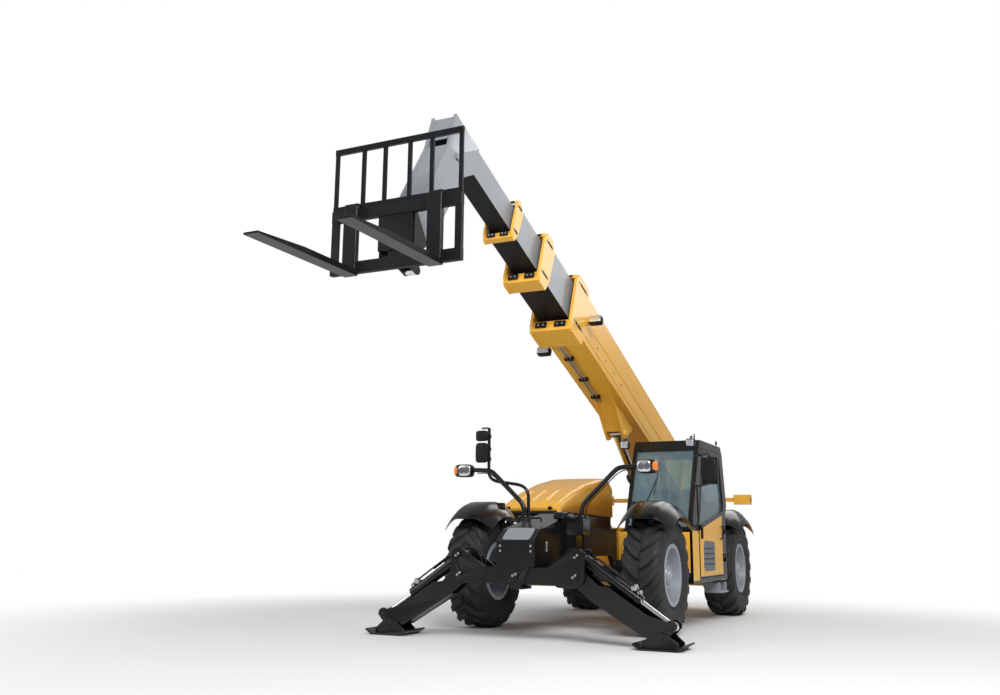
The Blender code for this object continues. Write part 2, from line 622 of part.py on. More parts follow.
def outer_boom():
    half, height, rear, front = SECTIONS["boom_outer"]
    body, hollow = ring(half, along(rear, front), height, WALL)
    hub = rod((-half - 0.015, 0, 0), (half + 0.015, 0, 0), 0.10, 24)
    mesh = boolean(boolean(body, hub, "UNION"), hollow, "DIFFERENCE")
    ahead = -LIFT_EYE[0] - LIFT_BRACKET
    bracket = [(ahead, -height + 0.004), (-LIFT_EYE[0] - 0.10, LIFT_EYE[1] - 0.05)]
    bracket += arc((-LIFT_EYE[0], LIFT_EYE[1]), 0.085, -120, 0, 6)
    bracket += [(-LIFT_EYE[0] + 0.30, -height + 0.004)]
    cover = [(ahead + 0.03, -height + 0.004), (-LIFT_EYE[0] - 0.115, LIFT_EYE[1] - 0.03),
             (-LIFT_EYE[0] - 0.105, LIFT_EYE[1] - 0.01), (ahead + 0.07, -height + 0.004)]
    pieces = [mesh, plate(cover, "X", (-0.10, 0.10))] + both_sides(plate(bracket, "X", (0.095, 0.125)))
    for s in (1, -1):
        pieces.append(rod((s * (LIFT_EYE_HALF + RUN), -LIFT_EYE[0], LIFT_EYE[1]),
                          (s * 0.145, -LIFT_EYE[0], LIFT_EYE[1]), 0.041, 18))
    around, pads = collar("boom_outer", next_section("boom_outer"))
    boom_node("boom_outer", "yellow", pieces + around + pads)


def inner_section(name):
    half, height, rear, front = SECTIONS[name]
    body, hollow = ring(half, along(rear, front), height, WALL)
    mesh = boolean(body, hollow, "DIFFERENCE")
    around, pads = collar(name, next_section(name))
    boom_node(name, "grey", [mesh] + pads)
    end, length = COLLARS[name][:2]
    seat = box((-half - GAP, half + GAP), along(end - length - 0.1, end + 0.1), (-height - GAP, height + GAP))
    boom_node(name + "_collar", "yellow", around, cuts=[seat])


NECK_PIN = (SECTIONS["boom_head"][3] + NECK_REACH, -NECK_DROP)      # along, above the boom's centre line
TILT_BASE = (SECTIONS["boom_head"][3] - 0.10, -0.24)
TILT_ARM = 0.24         # carriage pin to tilt ram pin
TILT_ARM_ANGLE = 240.0  # its direction as stored, degrees from straight ahead towards up
PIN_HALF = 0.045


def in_machine(s, t):
    """Y and Z of a point given along and above the boom's centre line."""
    a = math.radians(BOOM_ANGLE)
    return (PIVOT_Y - s * math.cos(a) + t * math.sin(a), PIVOT_Z + s * math.sin(a) + t * math.cos(a))


def boom_head():
    half, height, rear, front = SECTIONS["boom_head"]
    body = box((-half, half), along(rear, front), (-height, height))
    s, t = NECK_PIN
    cheek = [(-front + 0.42, height - 0.01), (-front + 0.42, -height - 0.04), (-front + 0.27, -height - 0.20),
             (-s + 0.18, t + 0.10)]
    cheek += arc((-s, t), 0.085, -30, -180, 6)
    cheek += [(-s - 0.10, t + 0.30), (-front - 0.07, -height - 0.1), (-front - 0.07, height - 0.01)]
    pieces = [body] + both_sides(plate(cheek, "X", (half - 0.003, half + NECK_PLATE)))
    pieces.append(box((-half, half), along(front - 0.02, front + 0.05), (-height, height - 0.02)))
    pieces.append(plate([(-s - 0.085, t + 0.32), (-front - 0.055, -height - 0.08), (-front - 0.025, -height - 0.08),
                         (-s - 0.055, t + 0.32)], "X", (-half, half)))
    base_s, base_t = TILT_BASE
    for side in (1, -1):
        pieces.append(rod((side * (PIN_HALF + RUN), -base_s, base_t), (side * (half + NECK_PLATE + 0.015), -base_s,
                          base_t), 0.035, 20))
        pieces.append(rod((side * (half + 0.01), -s, t), (side * (half + NECK_PLATE + 0.008), -s, t), 0.055, 20))
    boom_node("boom_head", "grey", pieces)


def lift_ram():
    y, z = in_machine(*LIFT_EYE)
    ram(("lift_barrel", "lift_rod"), (0, *LIFT_BASE), (0, y, z), (1, 0, 0), (LIFT_BARREL_RADIUS, LIFT_ROD_RADIUS),
        LIFT_BARREL_LENGTH, (LIFT_BARREL_RADIUS + 0.006 - RUN, LIFT_EYE_HALF, 0.052), LIFT_TRAVEL)


# ---- carriage -----------------------------------------------------------------------------------
CARRIAGE_Y, CARRIAGE_Z = in_machine(*NECK_PIN)


def tilt_pin():
    a = math.radians(TILT_ARM_ANGLE)
    return (CARRIAGE_Y - TILT_ARM * math.cos(a), CARRIAGE_Z + TILT_ARM * math.sin(a))


def carriage():
    y, z = CARRIAGE_Y, CARRIAGE_Z
    face = y - CARRIAGE_OFFSET
    low, high = z - FORK_DROP - 0.02, z + 0.30
    half = CARRIAGE_HALF
    pieces = [box((-half, half), (face, face + 0.05), (high - 0.10, high)),
              box((-half, half), (face, face + 0.05), (low, low + 0.10))]
    for x in (-half + 0.03, half - 0.03):
        pieces.append(box((x - 0.03, x + 0.03), (face + 0.004, face + 0.046), (low + 0.01, high - 0.01)))
    neck = NECK_HALF + NECK_PLATE + 0.008 + RUN
    lug = [(face + 0.045, low + 0.02), (y, z - 0.07)]
    lug += arc((y, z), 0.07, -60, 60, 5)
    lug += [(face + 0.045, high - 0.02)]
    pieces += both_sides(plate(lug, "X", (neck, neck + 0.030)))
    py, pz = tilt_pin()
    arm = [(face + 0.02, z + 0.08), (face + 0.02, z - 0.17)] + arc((py, pz), 0.042, -95, 60, 6)
    arm += [(y + 0.01, z + 0.04)]
    pieces += both_sides(plate(arm, "X", (PIN_HALF + RUN, PIN_HALF + RUN + 0.018)))
    pieces.append(box((-neck - 0.02, neck + 0.02), (face + 0.01, face + 0.042), (z - 0.10, z + 0.24)))
    node("fork_carriage", "dark", pieces, origin=(0, y, z))
    return face, high


def load_guard(face, high):
    z0, z1 = high + GAP, CARRIAGE_Z + GUARD_TOP
    half = CARRIAGE_HALF
    bar = 0.025
    mid = face + 0.025
    pieces = [box((-half, half), (mid - bar / 2, mid + bar / 2), (z1 - 0.05, z1)),
              box((-half, half), (mid - bar / 2, mid + bar / 2), (z0, z0 + 0.04))]
    for x in (-half + 0.02, -0.33, -0.12, 0.12, 0.33, half - 0.02):
        pieces.append(box((x - 0.018, x + 0.018), (mid - bar / 2 + 0.003, mid + bar / 2 - 0.003), (z0 + 0.02, z1 - 0.02)))
    node("load_guard", "black", pieces, origin=(0, CARRIAGE_Y, CARRIAGE_Z))


def fork(tag, side, face, high):
    top = CARRIAGE_Z - FORK_DROP
    heel = face - GAP
    back = heel - FORK_THICK
    outline = [(heel, top - FORK_THICK), (heel, high + 0.03), (back + 0.015, high + 0.03), (back, high - 0.02), (back, top),
               (back - FORK_LENGTH * 0.55, top), (back - FORK_LENGTH, top - FORK_THICK * 0.65),
               (back - FORK_LENGTH, top - FORK_THICK), (back, top - FORK_THICK)]
    x = FORK_SPACING / 2
    node("fork_" + tag, "black", [plate(outline, "X", (x - FORK_WIDTH / 2, x + FORK_WIDTH / 2))],
         origin=(x, CARRIAGE_Y, CARRIAGE_Z), side=side)


def tilt_ram():
    y, z = in_machine(*TILT_BASE)
    ram(("tilt_barrel", "tilt_rod"), (0, y, z), (0, *tilt_pin()), (1, 0, 0), (0.042, 0.025), TILT_BARREL_LENGTH,
        (PIN_HALF, PIN_HALF, 0.038), TILT_TRAVEL)


# ---- cab ----------------------------------------------------------------------------------------
CAB_SIDE = [(CAB_FRONT, CAB_FLOOR), (CAB_FRONT, CAB_SILL), (CAB_FRONT + 0.40, 2.06), (CAB_FRONT + 0.48, CAB_ROOF),
            (CAB_REAR - 0.16, CAB_ROOF), (CAB_REAR - 0.08, 2.06), (CAB_REAR + 0.08, 1.42), (CAB_REAR, 1.30),
            (CAB_REAR, CAB_FLOOR)]
HOLLOW_SIDE = [(CAB_FRONT + POST, CAB_FLOOR + POST), (CAB_FRONT + POST, CAB_SILL - 0.01),
               (CAB_FRONT + 0.44, 2.03), (CAB_FRONT + 0.50, CAB_ROOF - POST),
               (CAB_REAR - 0.20, CAB_ROOF - POST), (CAB_REAR - 0.13, 2.04), (CAB_REAR + 0.025, 1.42),
               (CAB_REAR - POST, 1.32), (CAB_REAR - POST, CAB_FLOOR + POST)]
DOORWAY = [(CAB_FRONT + 0.30, CAB_FLOOR + 0.05), (CAB_FRONT + 0.30, CAB_SILL + 0.06), (CAB_FRONT + 0.56, 2.07),
           (CAB_REAR - 0.21, 2.07), (CAB_REAR - 0.05, 1.40), (CAB_REAR - 0.20, 1.20), (CAB_REAR - 0.20, CAB_FLOOR + 0.05)]
SIDE_WINDOW = [(CAB_FRONT + 0.22, 1.16), (CAB_FRONT + 0.52, 2.05), (CAB_REAR - 0.22, 2.05), (CAB_REAR - 0.10, 1.50),
               (CAB_REAR - 0.12, 1.16)]
FRONT_WINDOW = (CAB_SILL + 0.03, 2.03)      # low and high edge
REAR_WINDOW = (1.48, 2.02)
WINDOW_X = (CAB_X[0] + 0.05, CAB_X[1] - 0.055)
ROOF_WINDOW_Y = (CAB_FRONT + 0.60, CAB_REAR - 0.30)


def inset(outline, distance):
    """A convex-enough outline moved inwards, edge by edge."""
    area = sum(a[0] * b[1] - b[0] * a[1] for a, b in zip(outline, outline[1:] + outline[:1]))
    sign = 1 if area > 0 else -1
    lines = []
    for a, b in zip(outline, outline[1:] + outline[:1]):
        edge = Vector((b[0] - a[0], b[1] - a[1])).normalized()
        normal = Vector((-edge.y, edge.x)) * sign
        lines.append((Vector(a) + normal * distance, edge))
    result = []
    for (p, d), (q, e) in zip(lines[-1:] + lines[:-1], lines):
        cross = d.x * e.y - d.y * e.x
        k = ((q.x - p.x) * e.y - (q.y - p.y) * e.x) / cross
        result.append(tuple(p + d * k))
    return result


def cab_frame():
    left, right = CAB_X[1], CAB_X[0]
    shell = plate(CAB_SIDE, "X", CAB_X)
    hollow = plate(HOLLOW_SIDE, "X", (right + 0.04, left - POST))
    cuts = [hollow,
            plate(DOORWAY, "X", (left - 0.09, left + 0.1)),
            plate(SIDE_WINDOW, "X", (right - 0.1, right + 0.07)),
            box(WINDOW_X, (CAB_FRONT - 0.1, CAB_FRONT + 0.43), FRONT_WINDOW),
            box(WINDOW_X, (CAB_REAR - 0.30, CAB_REAR + 0.2), REAR_WINDOW),
            box(WINDOW_X, ROOF_WINDOW_Y, (CAB_ROOF - 0.1, CAB_ROOF + 0.1))]
    node("cab_frame", "black", [shell] + mirror_arm() + door_hinges(0), cuts=cuts)


def mirror_arm():
    x, y, z = CAB_X[1] + 0.03, CAB_FRONT + 0.42, 1.98
    return [tube([(CAB_X[1] - 0.02, y, z), (x + 0.12, y - 0.12, z), (x + 0.14, y - 0.13, z - 0.06)], 0.010),
            box((x + 0.03, x + 0.22), (y - 0.155, y - 0.115), (z - 0.36, z - 0.05))]


HINGE_X = CAB_X[1] + 0.022
HINGE_Y = CAB_REAR - 0.17
HINGE_HEIGHTS = (0.72, 1.06)
HINGE_LENGTH = 0.05


def door_hinges(part):
    """Hinge barrels: part 0 belongs to the cab's post, part 1 to the door."""
    pieces = []
    for z in HINGE_HEIGHTS:
        low = z + part * (HINGE_LENGTH + RUN)
        high = low + HINGE_LENGTH
        pieces.append(rod((HINGE_X, HINGE_Y, low), (HINGE_X, HINGE_Y, high), 0.014, 16))
        span = (low + 0.003, high - 0.003)
        if part == 0:
            pieces.append(box((CAB_X[1] - 0.012, HINGE_X + 0.004), (HINGE_Y, HINGE_Y + 0.05), span))
        else:
            pieces.append(box((CAB_X[1] + 0.0055, HINGE_X + 0.004), (HINGE_Y - 0.075, HINGE_Y), span))
            pieces.append(box((CAB_X[1] - 0.01, CAB_X[1] + 0.012), (HINGE_Y - 0.071, HINGE_Y - 0.042), span))
    return pieces


def door():
    outer = inset(DOORWAY, PLAY)
    frame = plate(outer, "X", (CAB_X[1] - 0.045, CAB_X[1] + 0.004))
    pane = [(CAB_FRONT + 0.36, CAB_SILL + 0.035), (CAB_FRONT + 0.36, CAB_SILL + 0.08), (CAB_FRONT + 0.62, 2.01),
            (CAB_REAR - 0.27, 2.01), (CAB_REAR - 0.115, 1.43), (CAB_REAR - 0.15, 1.345)]
    window = plate(pane, "X", (CAB_X[1] - 0.1, CAB_X[1] + 0.1))
    handle = box((CAB_X[1] - 0.01, CAB_X[1] + 0.035), (CAB_FRONT + 0.35, CAB_FRONT + 0.38), (1.00, 1.12))
    grip = box((CAB_X[1] - 0.08, CAB_X[1] - 0.03), (CAB_FRONT + 0.40, CAB_FRONT + 0.43), (0.98, 1.10))
    pin = (HINGE_X, HINGE_Y, 1.0)
    node("cab_door", "black", [frame, handle, grip] + door_hinges(1), cuts=[window], origin=pin)
    skin = [(CAB_FRONT + 0.32, CAB_FLOOR + 0.07), (CAB_FRONT + 0.32, CAB_SILL - 0.005), (CAB_REAR - 0.255, 1.29),
            (CAB_REAR - 0.255, CAB_FLOOR + 0.07)]
    clear = box((CAB_X[1], CAB_X[1] + 0.1), (CAB_FRONT + 0.35 - GAP, CAB_FRONT + 0.38 + GAP), (1.00 - GAP, 1.2))
    node("door_panel", "yellow", [plate(skin, "X", (CAB_X[1] + 0.004 + GAP, CAB_X[1] + 0.012))], cuts=[clear],
         origin=pin)
    node("door_glass", "glass", [plate(inset(pane, GAP), "X", (CAB_X[1] - 0.030, CAB_X[1] - 0.030 + GLASS))],
         origin=pin)


def cab_glass():
    low, high = FRONT_WINDOW[0] + GAP, FRONT_WINDOW[1] - GAP
    run = 0.40 / (2.06 - CAB_SILL)
    base = CAB_FRONT + 0.014 - CAB_SILL * run

    def slanted(z, inward):
        return (base + z * run + inward, z)
    x = (WINDOW_X[0] + GAP, WINDOW_X[1] - GAP)
    node("windscreen", "glass", [plate([slanted(low, 0), slanted(high, 0), slanted(high, GLASS),
                                        slanted(low, GLASS)], "X", x)])
    run_rear = 0.16 / (2.06 - 1.42)
    rear = CAB_REAR + 0.08 - 0.03 + 1.42 * run_rear
    low, high = REAR_WINDOW[0] + GAP, REAR_WINDOW[1] - GAP
    node("rear_glass", "glass", [plate([(rear - low * run_rear, low), (rear - low * run_rear + GLASS, low),
                                        (rear - high * run_rear + GLASS, high), (rear - high * run_rear, high)],
                                       "X", x)])
    node("roof_glass", "glass", [box(x, (ROOF_WINDOW_Y[0] + GAP, ROOF_WINDOW_Y[1] - GAP),
                                     (CAB_ROOF - 0.035, CAB_ROOF - 0.035 + GLASS))])
    node("side_glass", "glass", [plate(inset(SIDE_WINDOW, GAP), "X", (CAB_X[0] + 0.012, CAB_X[0] + 0.012 + GLASS))])


def cab_inside():
    floor = CAB_FLOOR + POST + GAP
    middle = (CAB_X[0] + CAB_X[1]) / 2
    y = 0.20
    cushion = [(y - 0.25, 0.96), (y + 0.28, 0.93), (y + 0.38, 1.62), (y + 0.28, 1.64), (y + 0.17, 1.08),
               (y - 0.22, 1.09)]
    node("seat", "fabric", [plate(cushion, "X", (middle - 0.24, middle + 0.24)),
                            box((middle - 0.17, middle + 0.17), (y - 0.16, y + 0.20), (floor, 0.97))])
    column = [(-0.70, floor), (-0.44, floor), (-0.46, 0.90), (-0.36, 1.16), (-0.58, 1.24), (-0.70, 1.02)]
    wheel_ring = turned([(0.014 * math.sin(math.radians(a)), 0.165 + 0.014 * math.cos(math.radians(a)))
                         for a in range(0, 360, 45)], axis="Z", steps=24)
    spokes = [box((-0.165, 0.165), (-0.014, 0.014), (-0.006, 0.006)), rod((0, 0, -0.14), (0, 0, 0.008), 0.022, 12)]
    turn = Matrix.Translation((middle, -0.34, 1.26)) @ Matrix.Rotation(math.radians(-32), 4, "X")
    for mesh in [wheel_ring] + spokes:
        mesh.transform(turn)
    node("steering_console", "dark", [plate(column, "X", (middle - 0.20, middle + 0.20)), wheel_ring] + spokes)


def steps():
    top = CAB_FLOOR - GAP
    pieces = [box((1.006, 1.04), (0.40, 0.80), (0.36, top)), box((1.02, 1.20), (0.42, 0.46), (0.36, 0.47)),
              box((1.02, 1.20), (0.74, 0.78), (0.36, 0.47)), box((1.02, 1.22), (0.41, 0.79), (0.345, 0.37))]
    node("cab_step", "grey", pieces)


# ---- engine side --------------------------------------------------------------------------------
POD_Y = (CAB_FRONT, CAB_REAR)
HOOD_TOP = 1.81
HOOD_HINGE = (POD_Y[1] + 0.035, POD_TOP - 0.03)


def engine_pod():
    x0, x1 = POD_X
    y0, y1 = POD_Y
    low = RAIL_LOW
    shell = box((x0, x1), (y0, y1), (low, POD_TOP))
    cuts = [box((x0 + SHEET, x1 - SHEET), (y0 + SHEET, y1 - SHEET), (low + SHEET, POD_TOP + 0.1)),
            box((x0 + 0.09, x1 - 0.06), (y0 - 0.1, y0 + 0.1), (0.82, POD_TOP - 0.05)),
            box((x0 - 0.1, x0 + 0.1), (y0 + 0.16, y0 + 0.70), (0.80, POD_TOP - 0.07)),
            box((x0 - 0.1, x0 + 0.1), (y0 + 0.80, y1 - 0.16), (0.80, POD_TOP - 0.07))]
    mount = box((x1 - 0.02, -RAIL_OUTER - GAP), (-0.5, 0.5), (0.62, 0.80))
    node("engine_pod", "black", [shell, mount] + hood_hinges(0), cuts=cuts)


def hood_hinges(part):
    y, z = HOOD_HINGE
    pieces = []
    for x in (-0.52, -0.97):
        low = x + part * (0.04 + RUN)
        high = low + 0.04
        pieces.append(rod((low, y, z), (high, y, z), 0.014, 16))
        if part == 0:
            pieces.append(box((low + 0.003, high - 0.003), (POD_Y[1] - 0.012, y), (z - 0.012, z + 0.004)))
        else:
            pieces.append(box((low + 0.003, high - 0.003), (y - 0.004, y + 0.022), (z, POD_TOP + 0.06)))
    return pieces


def hood():
    low = POD_TOP + PLAY
    front, rear = POD_Y[0] - 0.17, HOOD_HINGE[0] + 0.045
    x0, x1 = POD_X[0] - 0.005, POD_X[1] + 0.0
    outline = [(front, low + 0.03), (front, 1.36), (front + 0.12, 1.44), (front + 0.50, 1.575), (front + 1.0, 1.705),
               (front + 1.5, HOOD_TOP - 0.02), (rear - 0.12, HOOD_TOP), (rear, HOOD_TOP - 0.08), (rear, low)]
    outline += [(POD_Y[0] + 0.02, low), (POD_Y[0] - 0.03, low + 0.03)]
    hollow = [(front + SHEET, low - 0.05), (front + SHEET, 1.335), (front + 0.14, 1.405), (front + 0.51, 1.54),
              (front + 1.0, 1.67), (front + 1.5, HOOD_TOP - 0.055), (rear - 0.13, HOOD_TOP - SHEET),
              (rear - SHEET, HOOD_TOP - 0.10), (rear - SHEET, low - 0.05)]
    body = plate(outline, "X", (x0, x1))
    inside = plate(hollow, "X", (x0 + SHEET, x1 - SHEET))
    mesh = boolean(body, inside, "DIFFERENCE")
    node("engine_hood", "yellow", [mesh] + hood_hinges(1), origin=(0, *HOOD_HINGE))


def engine():
    floor = RAIL_LOW + SHEET + GAP
    x = (POD_X[0] + POD_X[1]) / 2
    pieces = [box((x - 0.20, x + 0.20), (-0.55, 0.35), (floor + 0.10, 1.30)),
              box((x - 0.14, x + 0.14), (-0.48, 0.28), (1.28, 1.46)),
              box((x - 0.10, x + 0.10), (-0.40, 0.20), (floor, floor + 0.12)),
              rod((x, -0.70, 0.98), (x, -0.50, 0.98), 0.17, 20),
              box((x - 0.26, x + 0.26), (0.45, 0.70), (floor + 0.02, 1.40)),
              box((x - 0.10, x + 0.10), (0.30, 0.50), (0.80, 1.10)),
              rod((x + 0.10, -0.45, 1.40), (x + 0.10, 0.25, 1.40), 0.10, 16)]
    node("engine_block", "grey", pieces)


# ---- stalks -------------------------------------------------------------------------------------
STALK_RADIUS = 0.025


def stalk(tag, side):
    """A headlamp on its tube, and on the right side the mirror post beside it."""
    x, y = 0.33, FRAME_FRONT - 0.12
    seat = 1.20 + GAP
    pieces = [rod((x, y, seat), (x, y, seat + 0.02), 0.075, 20),
              tube([(x, y, seat + 0.01), (x, y, 1.30), (x + 0.03, y, 1.36), (x + 0.37, y, 1.685),
                    (x + 0.41, y, 1.72), (x + 0.66, y, 1.735)], STALK_RADIUS),
              box((x + 0.64, x + 0.86), (y - 0.09, y + 0.05), (1.66, 1.79))]
    if side < 0:
        pieces += [tube([(x - 0.035, y + 0.035, seat + 0.01), (x - 0.033, y + 0.034, 1.50), (x + 0.05, y + 0.03, 1.56),
                         (x + 0.42, y + 0.03, 1.61), (x + 0.46, y + 0.03, 1.65), (x + 0.46, y + 0.03, 2.22)], 0.016),
                   box((x + 0.44, x + 0.60), (y - 0.04, y + 0.0), (1.82, 2.02)),
                   box((x + 0.44, x + 0.60), (y - 0.04, y + 0.0), (2.05, 2.17)),
                   rod((x + 0.46, y + 0.035, 1.92), (x + 0.50, y - 0.01, 1.92), 0.012, 8),
                   rod((x + 0.46, y + 0.035, 2.11), (x + 0.50, y - 0.01, 2.11), 0.012, 8)]
    node("stalk_" + tag, "black", pieces, side=side)


# ---- assembly -----------------------------------------------------------------------------------
SIDES = (("left", 1), ("right", -1))

chassis()
nose()
counterweight()
for end, axle_y in zip(("front", "rear"), AXLE_Y):
    axle(end + "_axle", axle_y)
    for tag, side in SIDES:
        wheel(end + "_" + tag, side, axle_y)
stabiliser_beam()
for tag, side in SIDES:
    leg(tag, side)
    pad(tag, side)
    leg_ram(tag, side)
    stalk(tag, side)
outer_boom()
inner_section("boom_second")
inner_section("boom_third")
boom_head()
lift_ram()
fork_face, carriage_top = carriage()
load_guard(fork_face, carriage_top)
for tag, side in SIDES:
    fork(tag, side, fork_face, carriage_top)
tilt_ram()
cab_frame()
door()
cab_glass()
cab_inside()
steps()
engine_pod()
hood()
engine()


def centre_over_footprint():
    """Moves the root so that the whole model's box stands centred on the origin."""
    bpy.context.view_layer.update()
    corners = [obj.matrix_world @ vertex.co for obj in machine.objects if obj.type == "MESH"
               for vertex in obj.data.vertices]
    for axis in (0, 1):
        values = [corner[axis] for corner in corners]
        root.location[axis] -= (min(values) + max(values)) / 2


centre_over_footprint()
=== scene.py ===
"""Looks of the telehandler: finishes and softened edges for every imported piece, lugged tyres, lamps,
mirrors, hoses, bolts and trim.

Places are given in the machine's own frame, which has its origin on the floor midway between the axles:
x to the left, y to the rear, z up. Along the boom they are given as (side, along, above) its pivot.
"""
import json
import math

import bmesh
import bpy
import numpy as np
from mathutils import Matrix, Vector


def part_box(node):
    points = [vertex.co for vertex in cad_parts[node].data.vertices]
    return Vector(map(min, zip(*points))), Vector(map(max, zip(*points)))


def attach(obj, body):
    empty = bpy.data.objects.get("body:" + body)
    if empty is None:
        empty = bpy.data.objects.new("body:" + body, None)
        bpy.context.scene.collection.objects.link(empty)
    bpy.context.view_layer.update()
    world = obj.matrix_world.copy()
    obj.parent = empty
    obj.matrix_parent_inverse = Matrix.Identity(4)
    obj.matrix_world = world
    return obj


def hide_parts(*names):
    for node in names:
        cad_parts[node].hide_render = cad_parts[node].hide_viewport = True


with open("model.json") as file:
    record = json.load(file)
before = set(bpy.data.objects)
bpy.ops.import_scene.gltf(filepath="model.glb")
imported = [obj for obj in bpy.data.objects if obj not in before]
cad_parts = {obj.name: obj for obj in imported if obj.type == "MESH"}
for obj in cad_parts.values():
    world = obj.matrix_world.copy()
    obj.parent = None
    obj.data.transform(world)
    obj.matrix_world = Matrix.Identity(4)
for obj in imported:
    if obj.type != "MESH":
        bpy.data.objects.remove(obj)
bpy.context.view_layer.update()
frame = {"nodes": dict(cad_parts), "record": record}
BODIES = frame["record"]["behaviour"]["bodies"]
BODY_OF = {node: body for body, nodes in BODIES.items() for node in nodes}
SLOT_OF = {part["node"]: part["material_slot"] for part in frame["record"]["subparts"]}
SIDES = (("left", 1.0), ("right", -1.0))


def box_of(node):
    """Lowest corner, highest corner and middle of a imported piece."""
    low, high = (np.array(corner, float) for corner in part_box(node))
    return low, high, (low + high) / 2


MIDDLE_Y = sum(box_of("tyre_%s_left" % end)[2][1] for end in ("front", "rear")) / 2
TYRE_RADIUS = (box_of("tyre_front_left")[1] - box_of("tyre_front_left")[0])[2] / 2
PIVOT = (2.55, 1.94)                    # of the boom: y, z
BOOM_ANGLE = math.radians(20.5)
FORWARD = np.array([0, -math.cos(BOOM_ANGLE), math.sin(BOOM_ANGLE)])
ABOVE = np.array([0, math.sin(BOOM_ANGLE), math.cos(BOOM_ANGLE)])
ACROSS = np.array([1.0, 0, 0])


def at(x, y, z):
    return np.array([x, y + MIDDLE_Y, z], float)


def on_boom(x, along, above):
    return at(x, *PIVOT) + along * FORWARD + above * ABOVE


# ---- surfaces worked out on grids ---------------------------------------------------------------
def grid(points, wrap=True):
    """Quads over rows and columns of points; wrap joins the last column to the first."""
    rows, columns = points.shape[:2]
    index = np.arange(rows * columns).reshape(rows, columns)
    after = np.roll(index, -1, axis=1) if wrap else index[:, 1:]
    here = index if wrap else index[:, :-1]
    faces = np.stack([here[:-1], after[:-1], after[1:], here[1:]], axis=-1).reshape(-1, 4)
    return points.reshape(-1, 3), faces.tolist()


def lathe(profile, origin, axis, steps=24):
    """Each (distance, radius) point of a profile, carried once round the axis."""
    profile = np.asarray(profile, float)
    axis = Vector(axis).normalized()
    side = axis.orthogonal().normalized()
    up = axis.cross(side)
    turn = np.linspace(0, 2 * np.pi, steps, endpoint=False)[:, None]
    ring = np.cos(turn) * np.array(side) + np.sin(turn) * np.array(up)
    return grid(np.array(origin) + profile[:, :1, None] * np.array(axis) + profile[:, 1:, None] * ring[None])


def bar(origin, axis, radius, length, bevel=0.003, steps=20):
    """A round bar or disc along the axis, its rims cut back by a small bevel."""
    cut = min(bevel, radius * 0.4, length * 0.4)
    return lathe([(0, 0), (0, radius - cut), (cut, radius), (length - cut, radius), (length, radius - cut),
                  (length, 0)], origin, axis, steps)


def hexagon(origin, axis, radius=0.012, height=0.010):
    """A six-sided bolt head, its top chamfered, on a thin washer."""
    head = lathe([(0.002, 0), (0.002, radius), (height * 0.8, radius), (height, radius * 0.8), (height, 0)],
                 origin, axis, 6)
    return [head, bar(origin, axis, radius * 1.35, 0.0025, 0.0008, 16)]


def smooth_path(points, rounds=4, density=8):
    """A path through chosen points with its corners eased by repeated averaging of neighbours."""
    points = np.asarray(points, float)
    reach = np.concatenate([[0], np.cumsum(np.linalg.norm(np.diff(points, axis=0), axis=1))])
    fine = np.linspace(0, reach[-1], (len(points) - 1) * density + 1)
    path = np.stack([np.interp(fine, reach, points[:, i]) for i in range(3)], axis=1)
    for _ in range(rounds):
        path[1:-1] = (path[:-2] + 2 * path[1:-1] + path[2:]) / 4
    return path


def sweep(points, radius, sides=12, rounds=4, density=8):
    """A circle carried along an eased path, closed at both ends."""
    path = smooth_path(points, rounds, density)
    along = np.gradient(path, axis=0)
    along /= np.linalg.norm(along, axis=1)[:, None]
    guide = np.array([0.31, 0.17, 0.93]) if abs(along[:, 2]).mean() < 0.8 else np.array([0.9, 0.4, 0.1])
    side = np.cross(along, guide)
    side /= np.linalg.norm(side, axis=1)[:, None]
    up = np.cross(along, side)
    turn = np.linspace(0, 2 * np.pi, sides, endpoint=False)[None, :, None]
    ring = np.cos(turn) * side[:, None] + np.sin(turn) * up[:, None]
    tube = path[:, None] + radius * ring
    ends = [np.repeat(path[i][None, None], sides, axis=1) for i in (0, -1)]
    return grid(np.concatenate([ends[0], tube, ends[1]]))


def pillow(centre, size, power=6.0, axes=None, steps=28):
    """A rounded block: longitude and latitude circles, their sines and cosines flattened by a power."""
    v = np.linspace(-np.pi / 2, np.pi / 2, steps // 2 + 1)[:, None]
    u = np.linspace(-np.pi, np.pi, steps, endpoint=False)[None]

    def flat(value):
        return np.sign(value) * np.abs(value) ** (2.0 / power)
    points = np.stack([flat(np.cos(v)) * flat(np.cos(u)), flat(np.cos(v)) * flat(np.sin(u)),
                       flat(np.sin(v)) + 0 * u], axis=-1) * (np.array(size) / 2)
    if axes is not None:
        points = points @ np.array(axes, float)
    return grid(points + np.array(centre))


def slab(outline, axis, low, high, place=at):
    """A flat outline in the two other axes, carried from low to high along one axis."""
    pick = {"x": lambda u, v, w: place(w, u, v), "y": lambda u, v, w: place(u, w, v),
            "z": lambda u, v, w: place(u, v, w)}[axis]
    count = len(outline)
    points = np.array([pick(u, v, w) for w in (low, high) for u, v in outline])
    faces = [list(range(count)), list(range(count, 2 * count))]
    faces += [[i, (i + 1) % count, (i + 1) % count + count, i + count] for i in range(count)]
    return points, faces


def brick(x, y, z, place=at):
    return slab([(y[0], z[0]), (y[1], z[0]), (y[1], z[1]), (y[0], z[1])], "x", x[0], x[1], place)


def capsule(centre, half_length, radius, angle=0.0, count=7):
    """Outline of a slot: two half circles joined by straight sides, turned by an angle."""
    turn = np.linspace(-np.pi / 2, np.pi / 2, count)
    ends = [(half_length + radius * math.cos(t), radius * math.sin(t)) for t in turn]
    ends += [(-half_length - radius * math.cos(t), -radius * math.sin(t)) for t in turn]
    c, s = math.cos(angle), math.sin(angle)
    return [(centre[0] + c * a - s * b, centre[1] + s * a + c * b) for a, b in ends]


